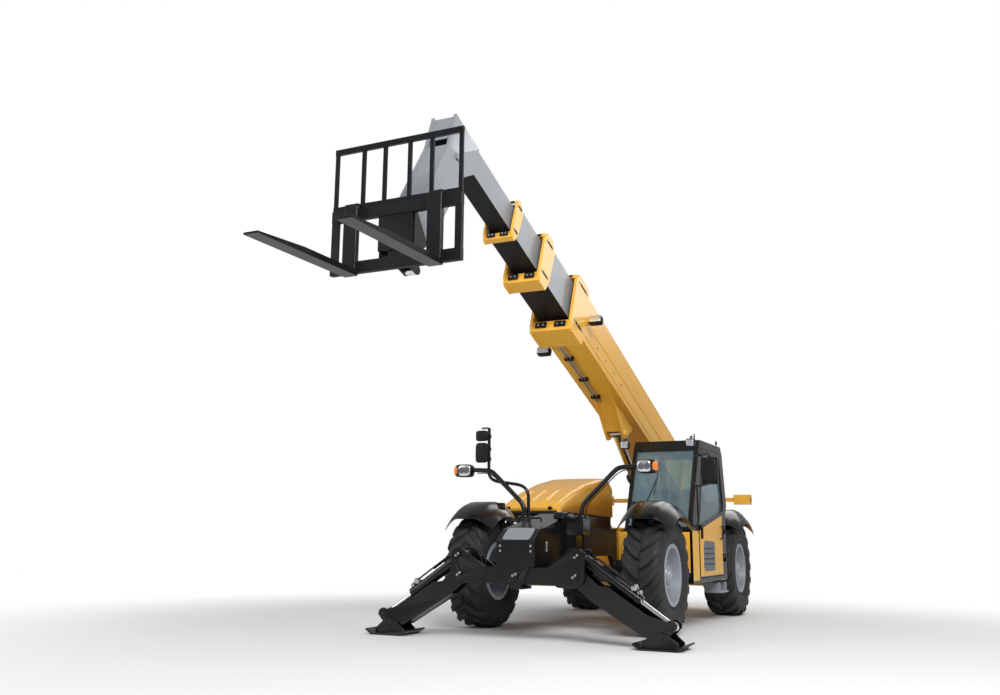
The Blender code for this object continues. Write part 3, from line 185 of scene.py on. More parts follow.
def join(name, shapes, finish, body, bevel=0.0, replaces=(), sharp=35.0):
    """Shapes made one mesh that rides on a body; bevel softens the edges."""
    verts, faces, start = [], [], 0
    for points, sides in shapes:
        verts.append(points)
        faces += [[i + start for i in side] for side in sides]
        start += len(points)
    mesh = bpy.data.meshes.new(name)
    mesh.from_pydata(np.concatenate(verts).tolist(), [], faces)
    work = bmesh.new()
    work.from_mesh(mesh)
    bmesh.ops.remove_doubles(work, verts=work.verts, dist=1e-5)
    bmesh.ops.dissolve_degenerate(work, edges=work.edges, dist=1e-6)
    bmesh.ops.recalc_face_normals(work, faces=work.faces)
    work.to_mesh(mesh)
    work.free()
    return settle(name, mesh, [finish], body, bevel, replaces, sharp)


def settle(name, mesh, finishes, body, bevel, replaces, sharp):
    mesh.materials.clear()
    for finish in finishes:
        mesh.materials.append(finish)
    mesh.shade_smooth()
    mesh.set_sharp_from_angle(angle=math.radians(sharp))
    obj = bpy.data.objects.new(name, mesh)
    bpy.context.scene.collection.objects.link(obj)
    if bevel:
        edge = obj.modifiers.new("edge", "BEVEL")
        edge.width = bevel
        edge.segments = 2
        edge.limit_method = "ANGLE"
        edge.angle_limit = math.radians(sharp)
    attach(obj, body)
    if replaces:
        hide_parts(*replaces)
    return obj


def dress(node, finish, bevel=0.003, second=None, test=None, cut=None):
    """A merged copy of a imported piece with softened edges. Faces whose middle and normal pass the test
    take the second finish; cut is a plane, a point and a normal, that splits the faces first."""
    mesh = frame["nodes"][node].data.copy()
    mesh.name = node + "_dressed"
    work = bmesh.new()
    work.from_mesh(mesh)
    bmesh.ops.remove_doubles(work, verts=work.verts, dist=1e-5)
    bmesh.ops.dissolve_limit(work, angle_limit=math.radians(0.6), verts=work.verts, edges=work.edges)
    if cut is not None:
        bmesh.ops.bisect_plane(work, geom=work.verts[:] + work.edges[:] + work.faces[:], dist=1e-5,
                               plane_co=cut[0], plane_no=cut[1])
    work.to_mesh(mesh)
    work.free()
    finishes = [finish] if second is None else [finish, second]
    obj = settle(node + "_dressed", mesh, finishes, BODY_OF[node], bevel, (node,), 35.0)
    if second is not None:
        values = {}
        for key in ("center", "normal"):
            values[key] = np.empty(3 * len(mesh.polygons))
            mesh.polygons.foreach_get(key, values[key])
        chosen = test(values["center"].reshape(-1, 3), values["normal"].reshape(-1, 3))
        mesh.polygons.foreach_set("material_index", chosen.astype(np.int32))
    return obj


# ---- finishes -----------------------------------------------------------------------------------
def socket(group, name, way, kind, value=None):
    made = group.interface.new_socket(name, in_out=way, socket_type="NodeSocket" + kind)
    if value is not None:
        made.default_value = value
    return made


def noise(group, scale, detail, stretch=(1, 1, 1)):
    nodes, links = group.nodes, group.links
    place = nodes.new("ShaderNodeTexCoord")
    shape = nodes.new("ShaderNodeMapping")
    shape.inputs["Scale"].default_value = stretch
    made = nodes.new("ShaderNodeTexNoise")
    made.inputs["Scale"].default_value = scale
    made.inputs["Detail"].default_value = detail
    links.new(place.outputs["Object"], shape.inputs["Vector"])
    links.new(shape.outputs["Vector"], made.inputs["Vector"])
    return made.outputs["Fac"]


def between(group, value, low, high):
    made = group.nodes.new("ShaderNodeMapRange")
    made.inputs["From Min"].default_value = low
    made.inputs["From Max"].default_value = high
    group.links.new(value, made.inputs["Value"])
    return made.outputs["Result"]


def maths(group, operation, first, second, third=None):
    made = group.nodes.new("ShaderNodeMath")
    made.operation = operation
    for index, value in enumerate((first, second, third)):
        if value is None:
            continue
        if isinstance(value, (int, float)):
            made.inputs[index].default_value = value
        else:
            group.links.new(value, made.inputs[index])
    return made.outputs[0]


def blend_colour(group, amount, first, second):
    made = group.nodes.new("ShaderNodeMix")
    made.data_type = "RGBA"
    group.links.new(amount, made.inputs["Factor"])
    group.links.new(first, made.inputs[6])
    group.links.new(second, made.inputs[7])
    return made.outputs[2]


def weathering():
    """Broad patches and downward streaks of dust over a paint, fine specks, and a pebbled height."""
    group = bpy.data.node_groups.new("weathering", "ShaderNodeTree")
    for name, kind in (("Paint", "Color"), ("Dust", "Color"), ("Amount", "Float"), ("Roughness", "Float"),
                       ("Pebble", "Float")):
        socket(group, name, "INPUT", kind)
    for name, kind in (("Color", "Color"), ("Roughness", "Float"), ("Normal", "Vector")):
        socket(group, name, "OUTPUT", kind)
    nodes, links = group.nodes, group.links
    start, end = nodes.new("NodeGroupInput"), nodes.new("NodeGroupOutput")
    patches = between(group, noise(group, 2.3, 6.0), 0.42, 0.80)
    streaks = between(group, noise(group, 9.0, 4.0, (1.0, 1.0, 0.12)), 0.50, 0.85)
    specks = between(group, noise(group, 90.0, 3.0), 0.62, 0.78)
    dirt = maths(group, "MAXIMUM", maths(group, "MAXIMUM", patches, streaks),
                 maths(group, "MULTIPLY", specks, 0.6))
    amount = maths(group, "MULTIPLY", dirt, start.outputs["Amount"])
    links.new(blend_colour(group, amount, start.outputs["Paint"], start.outputs["Dust"]), end.inputs["Color"])
    links.new(maths(group, "MULTIPLY_ADD", amount, 0.35, start.outputs["Roughness"]), end.inputs["Roughness"])
    height = maths(group, "MULTIPLY", noise(group, 140.0, 2.0), start.outputs["Pebble"])
    bump = nodes.new("ShaderNodeBump")
    bump.inputs["Strength"].default_value = 0.25
    bump.inputs["Distance"].default_value = 0.002
    links.new(height, bump.inputs["Height"])
    links.new(bump.outputs["Normal"], end.inputs["Normal"])
    return group


WEATHERING = weathering()


def coated(name, colour, roughness, metallic=0.0, dust=(0.30, 0.27, 0.22), amount=0.15, pebble=0.2, coat=0.0,
           shine=0.5):
    """A finish under the shared weathering."""
    made = bpy.data.materials.new(name)
    made.use_nodes = True
    nodes, links = made.node_tree.nodes, made.node_tree.links
    shader = nodes["Principled BSDF"]
    layer = nodes.new("ShaderNodeGroup")
    layer.node_tree = WEATHERING
    for key, value in (("Paint", (*colour, 1)), ("Dust", (*dust, 1)), ("Amount", amount),
                       ("Roughness", roughness), ("Pebble", pebble)):
        layer.inputs[key].default_value = value
    for out, into in (("Color", "Base Color"), ("Roughness", "Roughness"), ("Normal", "Normal")):
        links.new(layer.outputs[out], shader.inputs[into])
    shader.inputs["Metallic"].default_value = metallic
    shader.inputs["Specular IOR Level"].default_value = shine
    shader.inputs["Coat Weight"].default_value = coat
    shader.inputs["Coat Roughness"].default_value = 0.08
    return made


def clear(name, colour, transmission, roughness=0.0):
    made = bpy.data.materials.new(name)
    made.use_nodes = True
    shader = made.node_tree.nodes["Principled BSDF"]
    shader.inputs["Base Color"].default_value = (*colour, 1)
    shader.inputs["Roughness"].default_value = roughness
    shader.inputs["Transmission Weight"].default_value = transmission
    shader.inputs["IOR"].default_value = 1.45
    return made


YELLOW = coated("machine_yellow", (0.86, 0.45, 0.045), 0.34, dust=(0.62, 0.40, 0.13), amount=0.16, coat=0.3)
BLACK = coated("gloss_black", (0.004, 0.0046, 0.006), 0.20, dust=(0.016, 0.017, 0.020), amount=0.3, coat=0.15,
               shine=0.35)
SATIN = coated("satin_black", (0.006, 0.0065, 0.008), 0.42, dust=(0.020, 0.020, 0.020), amount=0.4,
               pebble=0.5, shine=0.25)
GREY = coated("section_grey", (0.230, 0.250, 0.270), 0.38, dust=(0.27, 0.275, 0.28), amount=0.3, coat=0.2)
STEEL_GREY = coated("step_grey", (0.13, 0.145, 0.16), 0.5, dust=(0.2, 0.2, 0.19), amount=0.3)
RIM = coated("rim_silver", (0.36, 0.39, 0.43), 0.36, metallic=0.35, dust=(0.24, 0.24, 0.235), amount=0.35)
CHROME = coated("rod_chrome", (0.78, 0.78, 0.80), 0.10, metallic=1.0, dust=(0.55, 0.55, 0.55), amount=0.1,
                pebble=0.02)
ZINC = coated("zinc_bolts", (0.50, 0.50, 0.50), 0.32, metallic=0.9, dust=(0.3, 0.29, 0.27), amount=0.3)
RUBBER = coated("tyre_rubber", (0.022, 0.023, 0.026), 0.62, dust=(0.070, 0.068, 0.066), amount=0.55,
                pebble=1.0, shine=0.3)
HOSE = coated("hose_rubber", (0.007, 0.007, 0.008), 0.5, dust=(0.025, 0.025, 0.024), amount=0.3, pebble=0.6,
              shine=0.25)
FABRIC = coated("seat_fabric", (0.022, 0.023, 0.028), 0.9, dust=(0.05, 0.05, 0.055), amount=0.3, pebble=2.0)
ORANGE = coated("lamp_orange", (0.80, 0.20, 0.015), 0.18, amount=0.03, pebble=0.05, coat=0.6)
RED = coated("lamp_red", (0.50, 0.015, 0.012), 0.18, amount=0.03, pebble=0.05, coat=0.6)
REFLECTOR = coated("lamp_reflector", (0.85, 0.86, 0.88), 0.12, metallic=0.9, amount=0.02, pebble=0.02)
MIRROR = coated("mirror_glass", (0.85, 0.87, 0.90), 0.03, metallic=1.0, amount=0.02, pebble=0.0)
GLASS = clear("cab_glass", (0.50, 0.70, 0.78), 0.85)
LENS = clear("lamp_lens", (0.95, 0.97, 1.0), 0.9, 0.02)
FINISH_OF = {"yellow_paint": YELLOW, "black_paint": BLACK, "dark_paint": SATIN, "grey_paint": GREY,
             "rim_paint": RIM, "chrome": CHROME, "tyre": RUBBER, "glass": GLASS, "fabric": FABRIC}


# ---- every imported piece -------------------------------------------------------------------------
REMADE = {"seat", "engine_hood", "stalk_left", "stalk_right"} | {n for n in SLOT_OF if n.startswith("tyre_")}
FINE = {"boom_second_collar": 0.004, "boom_third_collar": 0.004, "counterweight": 0.008, "cab_frame": 0.006}
BLACK_AHEAD = -0.86                     # the chassis is black in front of this


# Painted shade: faces of a boom section or the boom head that point down take satin black in place of the
# shade beneath them.
def underside(centres, normals):
    return normals @ ABOVE < -0.9


def ahead_of_cab(centres, normals):
    return centres[:, 1] - MIDDLE_Y < BLACK_AHEAD


# Second finishes: the chassis ahead of the cab is really painted black; the satin black undersides of the
# boom sections and head are painted shade.
TWO_TONE_AND_PAINTED_SHADE = {"boom_second": (SATIN, underside, None), "boom_third": (SATIN, underside, None),
            "boom_head": (SATIN, underside, None),
            "chassis_frame": (SATIN, ahead_of_cab, (at(0, BLACK_AHEAD, 0), (0, 1, 0)))}


def dress_all():
    for node, slot in SLOT_OF.items():
        mesh = frame["nodes"][node].data
        mesh.materials.clear()
        mesh.materials.append(FINISH_OF[slot])
        if node in REMADE or slot == "glass":
            continue
        dress(node, FINISH_OF[slot], FINE.get(node, 0.003), *TWO_TONE_AND_PAINTED_SHADE.get(node, (None, None, None)))


dress_all()


# ---- tyres and wheels ---------------------------------------------------------------------------
LUGS = 19
LUG_HEIGHT = 0.036
BEAD = 0.3053                           # radius at which the tyre meets its rim
SIDEWALL = [(-0.80, 0.535), (-0.86, 0.575), (-0.95, 0.63), (-1.0, 0.72), (-0.995, 0.80), (-0.96, 0.865),
            (-0.86, 0.915), (-0.70, 0.935), (-0.35, 0.942), (0, 0.944)]       # share of half width, of radius


def tyre(name, side):
    """Tyre skin: angle round the wheel by distance over the section. Chevron bars, bent at half their
    length, stand out where a sawtooth of the angle and the distance from the middle is high."""
    low, high, centre = box_of("tyre_" + name)
    half = (high - low)[0] / 2
    base = np.array(SIDEWALL + [(-a, r) for a, r in SIDEWALL[-2::-1]])
    station = np.linspace(0, len(base) - 1, 91)
    x = np.interp(station, np.arange(len(base)), base[:, 0])[:, None]
    r = np.interp(station, np.arange(len(base)), base[:, 1])[:, None] * TYRE_RADIUS
    turn = np.linspace(0, 2 * np.pi, 608, endpoint=False)[None]
    out = np.abs(x)
    bend = 0.75 * np.minimum(out, 0.45) + 1.25 * np.maximum(out - 0.45, 0)
    phase = (turn * LUGS / (2 * np.pi) + bend * side + np.where(x * side > 0, 0.5, 0.0)) % 1.0
    bar_mask = np.clip((0.25 - np.abs(phase - 0.5)) / 0.035, 0, 1)
    reach = np.clip((r / TYRE_RADIUS - 0.80) / 0.07, 0, 1)
    middle = np.clip((out - 0.02) / 0.05, 0, 1)
    lift = bar_mask * reach * middle * np.minimum(LUG_HEIGHT, TYRE_RADIUS - 0.0004 - r)
    ribs = 0.0025 * np.exp(-((r / TYRE_RADIUS - 0.70) / 0.008) ** 2) * (out > 0.9)
    wide = np.minimum(out * half + ribs + lift * 0.10 * (out > 0.85), half)
    points = np.stack([centre[0] + np.sign(x) * wide + 0 * turn, centre[1] + (r + lift) * np.cos(turn),
                       centre[2] + (r + lift) * np.sin(turn)], axis=-1)
    rim = points[[0, -1]].copy()
    flat = np.hypot(rim[..., 1] - centre[1], rim[..., 2] - centre[2])[..., None]
    rim[..., 1:] = centre[1:] + (rim[..., 1:] - centre[1:]) / flat * BEAD
    skin = np.concatenate([rim[:1], points, rim[1:], rim[:1]])
    join("skin_" + name, [grid(skin)], RUBBER, "wheel_" + name, replaces=("tyre_" + name,))


DISC_FACE, HUB_FACE = 0.0655, 0.144      # outwards from a wheel's middle
NUTS, NUT_CIRCLE = 12, 0.165
COVER_BOLTS, COVER_CIRCLE = 8, 0.075


def wheel_trim(name, side):
    """Nuts in a ring, the hub's planetary cover with its bolts and plug, and a valve."""
    _, _, centre = box_of("rim_" + name)
    disc = centre[0] + side * DISC_FACE
    hub = centre[0] + side * HUB_FACE
    nuts, cover = [], []
    for turn in np.arange(NUTS) * 2 * np.pi / NUTS:
        spot = (disc, centre[1] + NUT_CIRCLE * math.cos(turn), centre[2] + NUT_CIRCLE * math.sin(turn))
        nuts += hexagon(spot, (side, 0, 0), 0.015, 0.022)
        nuts.append(bar(spot, (side, 0, 0), 0.008, 0.030))
    for turn in np.arange(COVER_BOLTS) * 2 * np.pi / COVER_BOLTS:
        cover += hexagon((hub, centre[1] + COVER_CIRCLE * math.cos(turn),
                          centre[2] + COVER_CIRCLE * math.sin(turn)), (side, 0, 0), 0.009, 0.008)
    cap = lathe([(0, 0), (0, 0.058), (0.010, 0.055), (0.022, 0.040), (0.024, 0.018), (0.030, 0.016),
                 (0.030, 0)], (hub, centre[1], centre[2]), (side, 0, 0), 28)
    flange = lathe([(0, 0.105), (0, 0.128), (0.012, 0.128), (0.014, 0.105)],
                   (disc + side * 0.004, centre[1], centre[2]), (side, 0, 0), 36)
    join("nuts_" + name, nuts + cover, ZINC, "wheel_" + name)
    join("hub_cap_" + name, [cap, flange], RIM, "wheel_" + name)
    valve = sweep([(disc, centre[1] + 0.02, centre[2] + 0.25),
                   (disc + side * 0.03, centre[1] + 0.02, centre[2] + 0.245),
                   (disc + side * 0.05, centre[1] + 0.02, centre[2] + 0.225)], 0.005, 8)
    join("valve_" + name, [valve], HOSE, "wheel_" + name)


for end in ("front", "rear"):
    for tag, side in SIDES:
        tyre(end + "_" + tag, side)
        wheel_trim(end + "_" + tag, side)


# ---- lamp stalks and mirrors --------------------------------------------------------------------
STALK_Y = -2.05
STALK_RADIUS, POST_RADIUS = 0.025, 0.018
FLANGE_CIRCLE = 0.056


def headlamp(tag, side, x, y, z):
    """Housing, reflector, clear lens and an orange flasher on its outer end."""
    join("lamp_housing_" + tag, [pillow((x, y, z), (0.215, 0.130, 0.145), 4.5)], BLACK, "chassis")
    face = y - 0.052
    join("lamp_reflector_" + tag, [pillow((x - side * 0.025, face, z), (0.140, 0.034, 0.112), 4)], REFLECTOR,
         "chassis")
    bulbs = [lathe([(0, 0.030), (0.004, 0.034), (0.008, 0.030), (0.006, 0.012), (0.004, 0)],
                   (x - side * 0.025 + shift, face - 0.014, z), (0, -1, 0), 20) for shift in (-0.030, 0.032)]
    join("lamp_bulbs_" + tag, bulbs, SATIN, "chassis")
    join("lamp_lens_" + tag, [pillow((x - side * 0.025, face - 0.004, z), (0.150, 0.050, 0.120), 5)], LENS,
         "chassis")
    join("flasher_" + tag, [pillow((x + side * 0.082, y - 0.018, z), (0.055, 0.095, 0.100), 4)], ORANGE,
         "chassis")


def mirror(name, centre, size, body="chassis"):
    """A moulded back with a rim, and the glass set into the face that looks to the rear."""
    x, y, z = centre
    join("mirror_" + name, [pillow((x, y, z), size, 5)], SATIN, body)
    join("mirror_glass_" + name, [pillow((x, y + size[1] / 2, z), (size[0] * 0.86, 0.006, size[2] * 0.90),
                                         7)], MIRROR, body)


def stalk(tag, side):
    node = "stalk_" + tag
    foot = box_of(node)[0][2]
    path = [(0.33, foot), (0.33, 1.30), (0.36, 1.36), (0.70, 1.685), (0.74, 1.72), (0.80, 1.728),
            (0.97, 1.735)]
    shapes = [sweep([at(side * x, STALK_Y, z) for x, z in path], STALK_RADIUS, 16, 5),
              bar(at(side * 0.33, STALK_Y, foot), (0, 0, 1), 0.075, 0.016),
              bar(at(side * 0.33, STALK_Y, foot), (0, 0, 1), 0.034, 0.045)]
    bolts = []
    for turn in np.arange(4) * np.pi / 2 + 0.6:
        bolts += hexagon(at(side * 0.33 + FLANGE_CIRCLE * math.cos(turn),
                            STALK_Y + FLANGE_CIRCLE * math.sin(turn), foot + 0.016), (0, 0, 1), 0.009,
                         0.008)
    if side < 0:
        post = [(0.30, 1.215), (0.302, 1.50), (0.38, 1.56), (0.73, 1.61), (0.79, 1.66), (0.79, 2.205)]
        shapes.append(sweep([at(-x, STALK_Y + 0.03, z) for x, z in post], POST_RADIUS, 14, 3))
        shapes.append(sweep([at(-0.79, STALK_Y + 0.03, 2.195), at(-0.80, STALK_Y + 0.02, 2.207),
                             at(-0.86, STALK_Y - 0.02, 2.200)], 0.012, 10, 2))
        for z in (1.86, 1.97, 2.11):
            shapes.append(sweep([at(-0.79, STALK_Y + 0.03, z), at(-0.82, STALK_Y, z)], 0.010, 10, 1))
            shapes.append(bar(at(-0.79, STALK_Y + 0.03, z - 0.02), (0, 0, 1), 0.026, 0.04))
        mirror("long", at(-0.855, STALK_Y - 0.02, 1.925), (0.150, 0.050, 0.225))
        mirror("wide", at(-0.855, STALK_Y - 0.02, 2.115), (0.145, 0.055, 0.120))
    join("stalk_tube_" + tag, shapes, BLACK, "chassis", replaces=(node,))
    join("stalk_bolts_" + tag, bolts, ZINC, "chassis")
    cable = [(0.36, 1.215), (0.372, 1.30), (0.40, 1.36), (0.72, 1.66), (0.80, 1.70), (0.93, 1.70)]
    join("lamp_cable_" + tag, [sweep([at(side * x, STALK_Y + 0.028, z) for x, z in cable], 0.006, 8)], HOSE,
         "chassis")
    headlamp(tag, side, *at(side * 1.075, STALK_Y - 0.01, 1.727))


for tag, side in SIDES:
    stalk(tag, side)


# ---- nose ---------------------------------------------------------------------------------------
def nose():
    face = box_of("nose_box")[0][1] - MIDDLE_Y + 0.028
    trim = [pillow(at(0, face + 0.085, 1.026), (0.30, 0.200, 0.012), 8,
                   axes=[(1, 0, 0), (0, 0.824, 0.566), (0, -0.566, 0.824)])]
    join("nose_panel", trim, GREY, "chassis")
    handle = [at(-0.03, -2.60, 1.145), at(-0.03, -2.60, 1.185), at(0.10, -2.60, 1.190),
              at(0.10, -2.60, 1.150)]
    latch = [sweep(handle, 0.010, 12, 3), pillow(at(0.22, -2.35, 1.215), (0.13, 0.16, 0.075), 6),
             pillow(at(0.20, -2.20, 1.235), (0.05, 0.05, 0.06), 5)]
    join("nose_latch", latch, BLACK, "chassis", bevel=0.0)
    seams = [slab([(-0.19, 0.935), (0.19, 0.935), (0.19, 0.941), (-0.19, 0.941)], "y", face - 0.0015,
                  face + 0.01), slab([(-0.19, 0.700), (-0.184, 0.700), (-0.184, 0.94), (-0.19, 0.94)], "y",
                                     face - 0.0015, face + 0.01),
             slab([(0.184, 0.700), (0.19, 0.700), (0.19, 0.94), (0.184, 0.94)], "y", face - 0.0015,
                  face + 0.01)]
    join("nose_seams", seams, SATIN, "chassis")
    marker = [pillow(at(0.206, -2.70, 0.90), (0.010, 0.035, 0.10), 7)]
    join("nose_marker", marker, REFLECTOR, "chassis")
    bolts = []
    for x in (-0.014, 0.016):
        bolts += hexagon(at(x, face - 0.028, 0.632 + x * 0.5), (0, -1, 0), 0.010, 0.010)
    for x in (-0.165, 0.165):
        for z in (0.86, 0.91):
            bolts += hexagon(at(x, face, z), (0, -1, 0), 0.009, 0.007)
    join("nose_bolts", bolts, ZINC, "chassis")
    fittings = [bar(at(x, -1.86, 1.095), (0, 0, 1), 0.020, 0.07) for x in (-0.10, 0.02)]
    fittings += [bar(at(0.20, y, 1.245), (1, 0, 0), 0.012, 0.045) for y in (-2.39, -2.33, -2.27)]
    join("nose_fittings", fittings, ZINC, "chassis")


nose()


# ---- stabilisers --------------------------------------------------------------------------------
STAB_Y = box_of("leg_left")[2][1] - MIDDLE_Y
LEG_PIN, RAM_PIN, PAD_PIN, EYE_PIN = (0.62, 0.632), (0.64, 0.818), (1.434, 0.112), (1.53, 0.205)
PAD_PIN_REACH = 0.112                   # of its front face, from the legs' middle plane
BOLT_LINE = np.array([0.80, 0, 0.60])


def retainer(front, across):
    """A pin's retaining plate with its two bolts."""
    shapes = [bar(front, (0, -1, 0), 0.030, 0.006, 0.002)]
    bolts = []
    for sign in (-1, 1):
        spot = front + sign * 0.017 * across + np.array([0, -0.006, 0])
        bolts += hexagon(spot, (0, -1, 0), 0.009, 0.009)
    return shapes, bolts


def stabiliser(tag, side):
    """Pin retainers, the ram's pipes and valve, and the hoses that reach it from the beam."""
    ear = box_of("stabiliser_beam")[0][1] - MIDDLE_Y
    steel, heads = [], []
    for pin in (LEG_PIN, RAM_PIN):
        plate_shapes, bolts = retainer(at(side * pin[0], ear, pin[1]), BOLT_LINE)
        steel += plate_shapes
        heads += bolts
    join("pin_plates_" + tag, steel, BLACK, "chassis")
    join("pin_bolts_" + tag, heads, ZINC, "chassis")
    front = at(side * PAD_PIN[0], STAB_Y - PAD_PIN_REACH, PAD_PIN[1])
    join("pad_pin_" + tag, [bar(front, (0, -1, 0), 0.022, 0.008)] + hexagon(front + [0, -0.008, 0],
                                                                            (0, -1, 0), 0.011, 0.008), ZINC,
         "pad_" + tag)
    ram_line = (np.array(EYE_PIN) - RAM_PIN) / math.dist(EYE_PIN, RAM_PIN)
    normal = np.array([-ram_line[1], ram_line[0]])

    def place(along, up, y):
        x, z = np.array(RAM_PIN) + ram_line * along + normal * up
        return at(side * x, STAB_Y + y, z)

    pipes = [sweep([place(0.12, 0.050, y), place(0.14, 0.078, y), place(0.40, 0.080, y), place(end, 0.078, y),
                    place(end + 0.02, 0.052, y)], 0.009, 10, 3) for y, end in ((-0.022, 0.66), (0.022, 0.22))]
    join("ram_pipes_" + tag, pipes, HOSE, "ram_barrel_" + tag)
    blocks = [pillow(place(0.60, 0.068, 0.0), (0.06, 0.085, 0.045), 6),
              pillow(place(0.66, 0.066, 0.0), (0.04, 0.06, 0.04), 6)]
    blocks += [bar(place(0.60, 0.088, y), (0, 0, 1), 0.011, 0.022) for y in (-0.024, 0.024)]
    join("ram_valve_" + tag, blocks, ZINC, "ram_barrel_" + tag)
    hoses = [sweep([at(side * (0.44 - 0.03 * k), STAB_Y + 0.03 + 0.02 * k, 0.71),
                    at(side * (0.46 - 0.03 * k), STAB_Y + 0.03 + 0.02 * k, 0.80),
                    at(side * (0.52 - 0.02 * k), STAB_Y + 0.01 + 0.02 * k, 0.88),
                    at(side * (0.58 - 0.02 * k), STAB_Y + 0.01 * k, 0.885)], 0.010, 10, 4) for k in (0, 1)]
    join("beam_hoses_" + tag, hoses, HOSE, "chassis")


for tag, side in SIDES:
    stabiliser(tag, side)


# ---- engine hood and its bay --------------------------------------------------------------------
HOOD_PROFILE = [(-1.01, 1.306), (-1.01, 1.36), (-0.89, 1.44), (-0.51, 1.575), (-0.01, 1.705), (0.49, 1.79),
                (0.80, 1.81), (0.92, 1.73), (0.92, 1.276)]
HOOD_X = (-1.134, -0.356)


def hood():
    """Crowned cover: the long profile carried across, rounded down at both sides, with three long ridges
    that fade at their ends."""
    top = smooth_path([(0, y, z) for y, z in HOOD_PROFILE[1:8]], 3, 22)
    rows = []
    for _, y, z in top:
        row = []
        for t in np.linspace(0, 1, 73):
            edge = min(t, 1 - t)
            fall = 0.075 * (1 - math.sqrt(max(0.0, 1 - (1 - min(edge / 0.11, 1)) ** 2)))
            crown = 0.012 * (1 - (2 * t - 1) ** 2)
            ridge = sum(0.020 * math.exp(-((t - place) / 0.045) ** 4) for place in (0.24, 0.46, 0.68))
            reach = max(0.0, min(1.0, (y + 0.97) / 0.10)) * max(0.0, min(1.0, (-0.30 - y) / 0.22))
            room = np.interp(y, [p[0] for p in HOOD_PROFILE[1:8]], [p[1] for p in HOOD_PROFILE[1:8]])
            row.append(at(HOOD_X[0] + t * (HOOD_X[1] - HOOD_X[0]), y, min(z, room) - 0.020 - fall + crown
                          + ridge * reach * 0.9))
        rows.append(row)
    rows = np.array(rows)
    skirt_low = np.interp(rows[:, 0, 1] - MIDDLE_Y, [-1.01, 0.92], [1.306, 1.276])
    for column, x in ((0, HOOD_X[0]), (-1, HOOD_X[1])):
        edge = rows[:, column].copy()
        edge[:, 0] = x
        edge[:, 2] = skirt_low
        rows = np.concatenate([edge[:, None], rows] if column == 0 else [rows, edge[:, None]], axis=1)
    front, back = rows[0].copy(), rows[-1].copy()
    front[:, 1] = at(0, HOOD_PROFILE[0][0], 0)[1]
    front[:, 2] = skirt_low[0]
    back[:, 1] = at(0, HOOD_PROFILE[-1][0], 0)[1]
    back[:, 2] = skirt_low[-1]
    rows = np.concatenate([front[None], rows, back[None]])
    shell = join("hood_shell", [grid(rows, wrap=False)], YELLOW, "hood",
                 replaces=("engine_hood",), sharp=42.0)
    thick = shell.modifiers.new("thick", "SOLIDIFY")
    thick.thickness = 0.012
    thick.offset = 1.0 if shell.data.polygons[0].normal.z < 0 else -1.0
    seal = [slab([(-1.004, 1.275), (0.913, 1.262), (0.913, 1.276), (-1.004, 1.303)], "x", HOOD_X[0] + 0.02,
                 HOOD_X[1] - 0.02)]
    join("hood_seal", seal, HOSE, "hood", bevel=0.002)
    latches = []
    for x in (-1.02, -0.47):
        latches.append(pillow(at(x, -1.012, 1.345), (0.05, 0.016, 0.035), 6))
        latches.append(sweep([at(x - 0.02, -1.022, 1.33), at(x + 0.02, -1.022, 1.33)], 0.006, 10, 1))
    join("hood_latches", latches, SATIN, "hood")


def bay():
    """Louvres, a side grille, pipes and a filter bowl about the engine."""
    blades = []
    for k in range(11):
        y = -0.72 + k * 0.105
        blades.append(slab([(y, 0.70), (y + 0.034, 0.70), (y + 0.034, 1.17), (y, 1.17)], "x", -1.128,
                           -1.1225))
    join("bay_louvres", blades, SATIN, "chassis", bevel=0.001)
    frame_bars = [slab([(-0.78, 0.66), (0.52, 0.66), (0.52, 0.69), (-0.78, 0.69)], "x", -1.129, -1.122),
                  slab([(-0.78, 1.18), (0.52, 1.18), (0.52, 1.21), (-0.78, 1.21)], "x", -1.129, -1.122)]
    join("bay_frame", frame_bars, BLACK, "chassis", bevel=0.002)
    pipes = [sweep([at(-0.95, -0.98, 1.20), at(-0.80, -1.0, 1.25), at(-0.62, -0.99, 1.22),
                    at(-0.50, -0.97, 1.12)], 0.020, 12, 4),
             sweep([at(-0.98, -0.97, 1.10), at(-0.86, -1.0, 1.16), at(-0.72, -1.0, 1.14),
                    at(-0.60, -0.97, 1.18)], 0.012, 10, 4)]
    join("bay_hoses", pipes, HOSE, "chassis")
    bowls = [bar(at(-0.46, -0.95, 1.02), (0, -1, 0), 0.050, 0.05),
             bar(at(-0.58, -0.95, 1.06), (0, -1, 0), 0.038, 0.04)]
    join("bay_filters", bowls, REFLECTOR, "chassis")


hood()
bay()


# ---- cab ----------------------------------------------------------------------------------------
CAB_X, CAB_FRONT, CAB_REAR, CAB_ROOF = (0.40, 1.20), -0.84, 0.84, 2.16


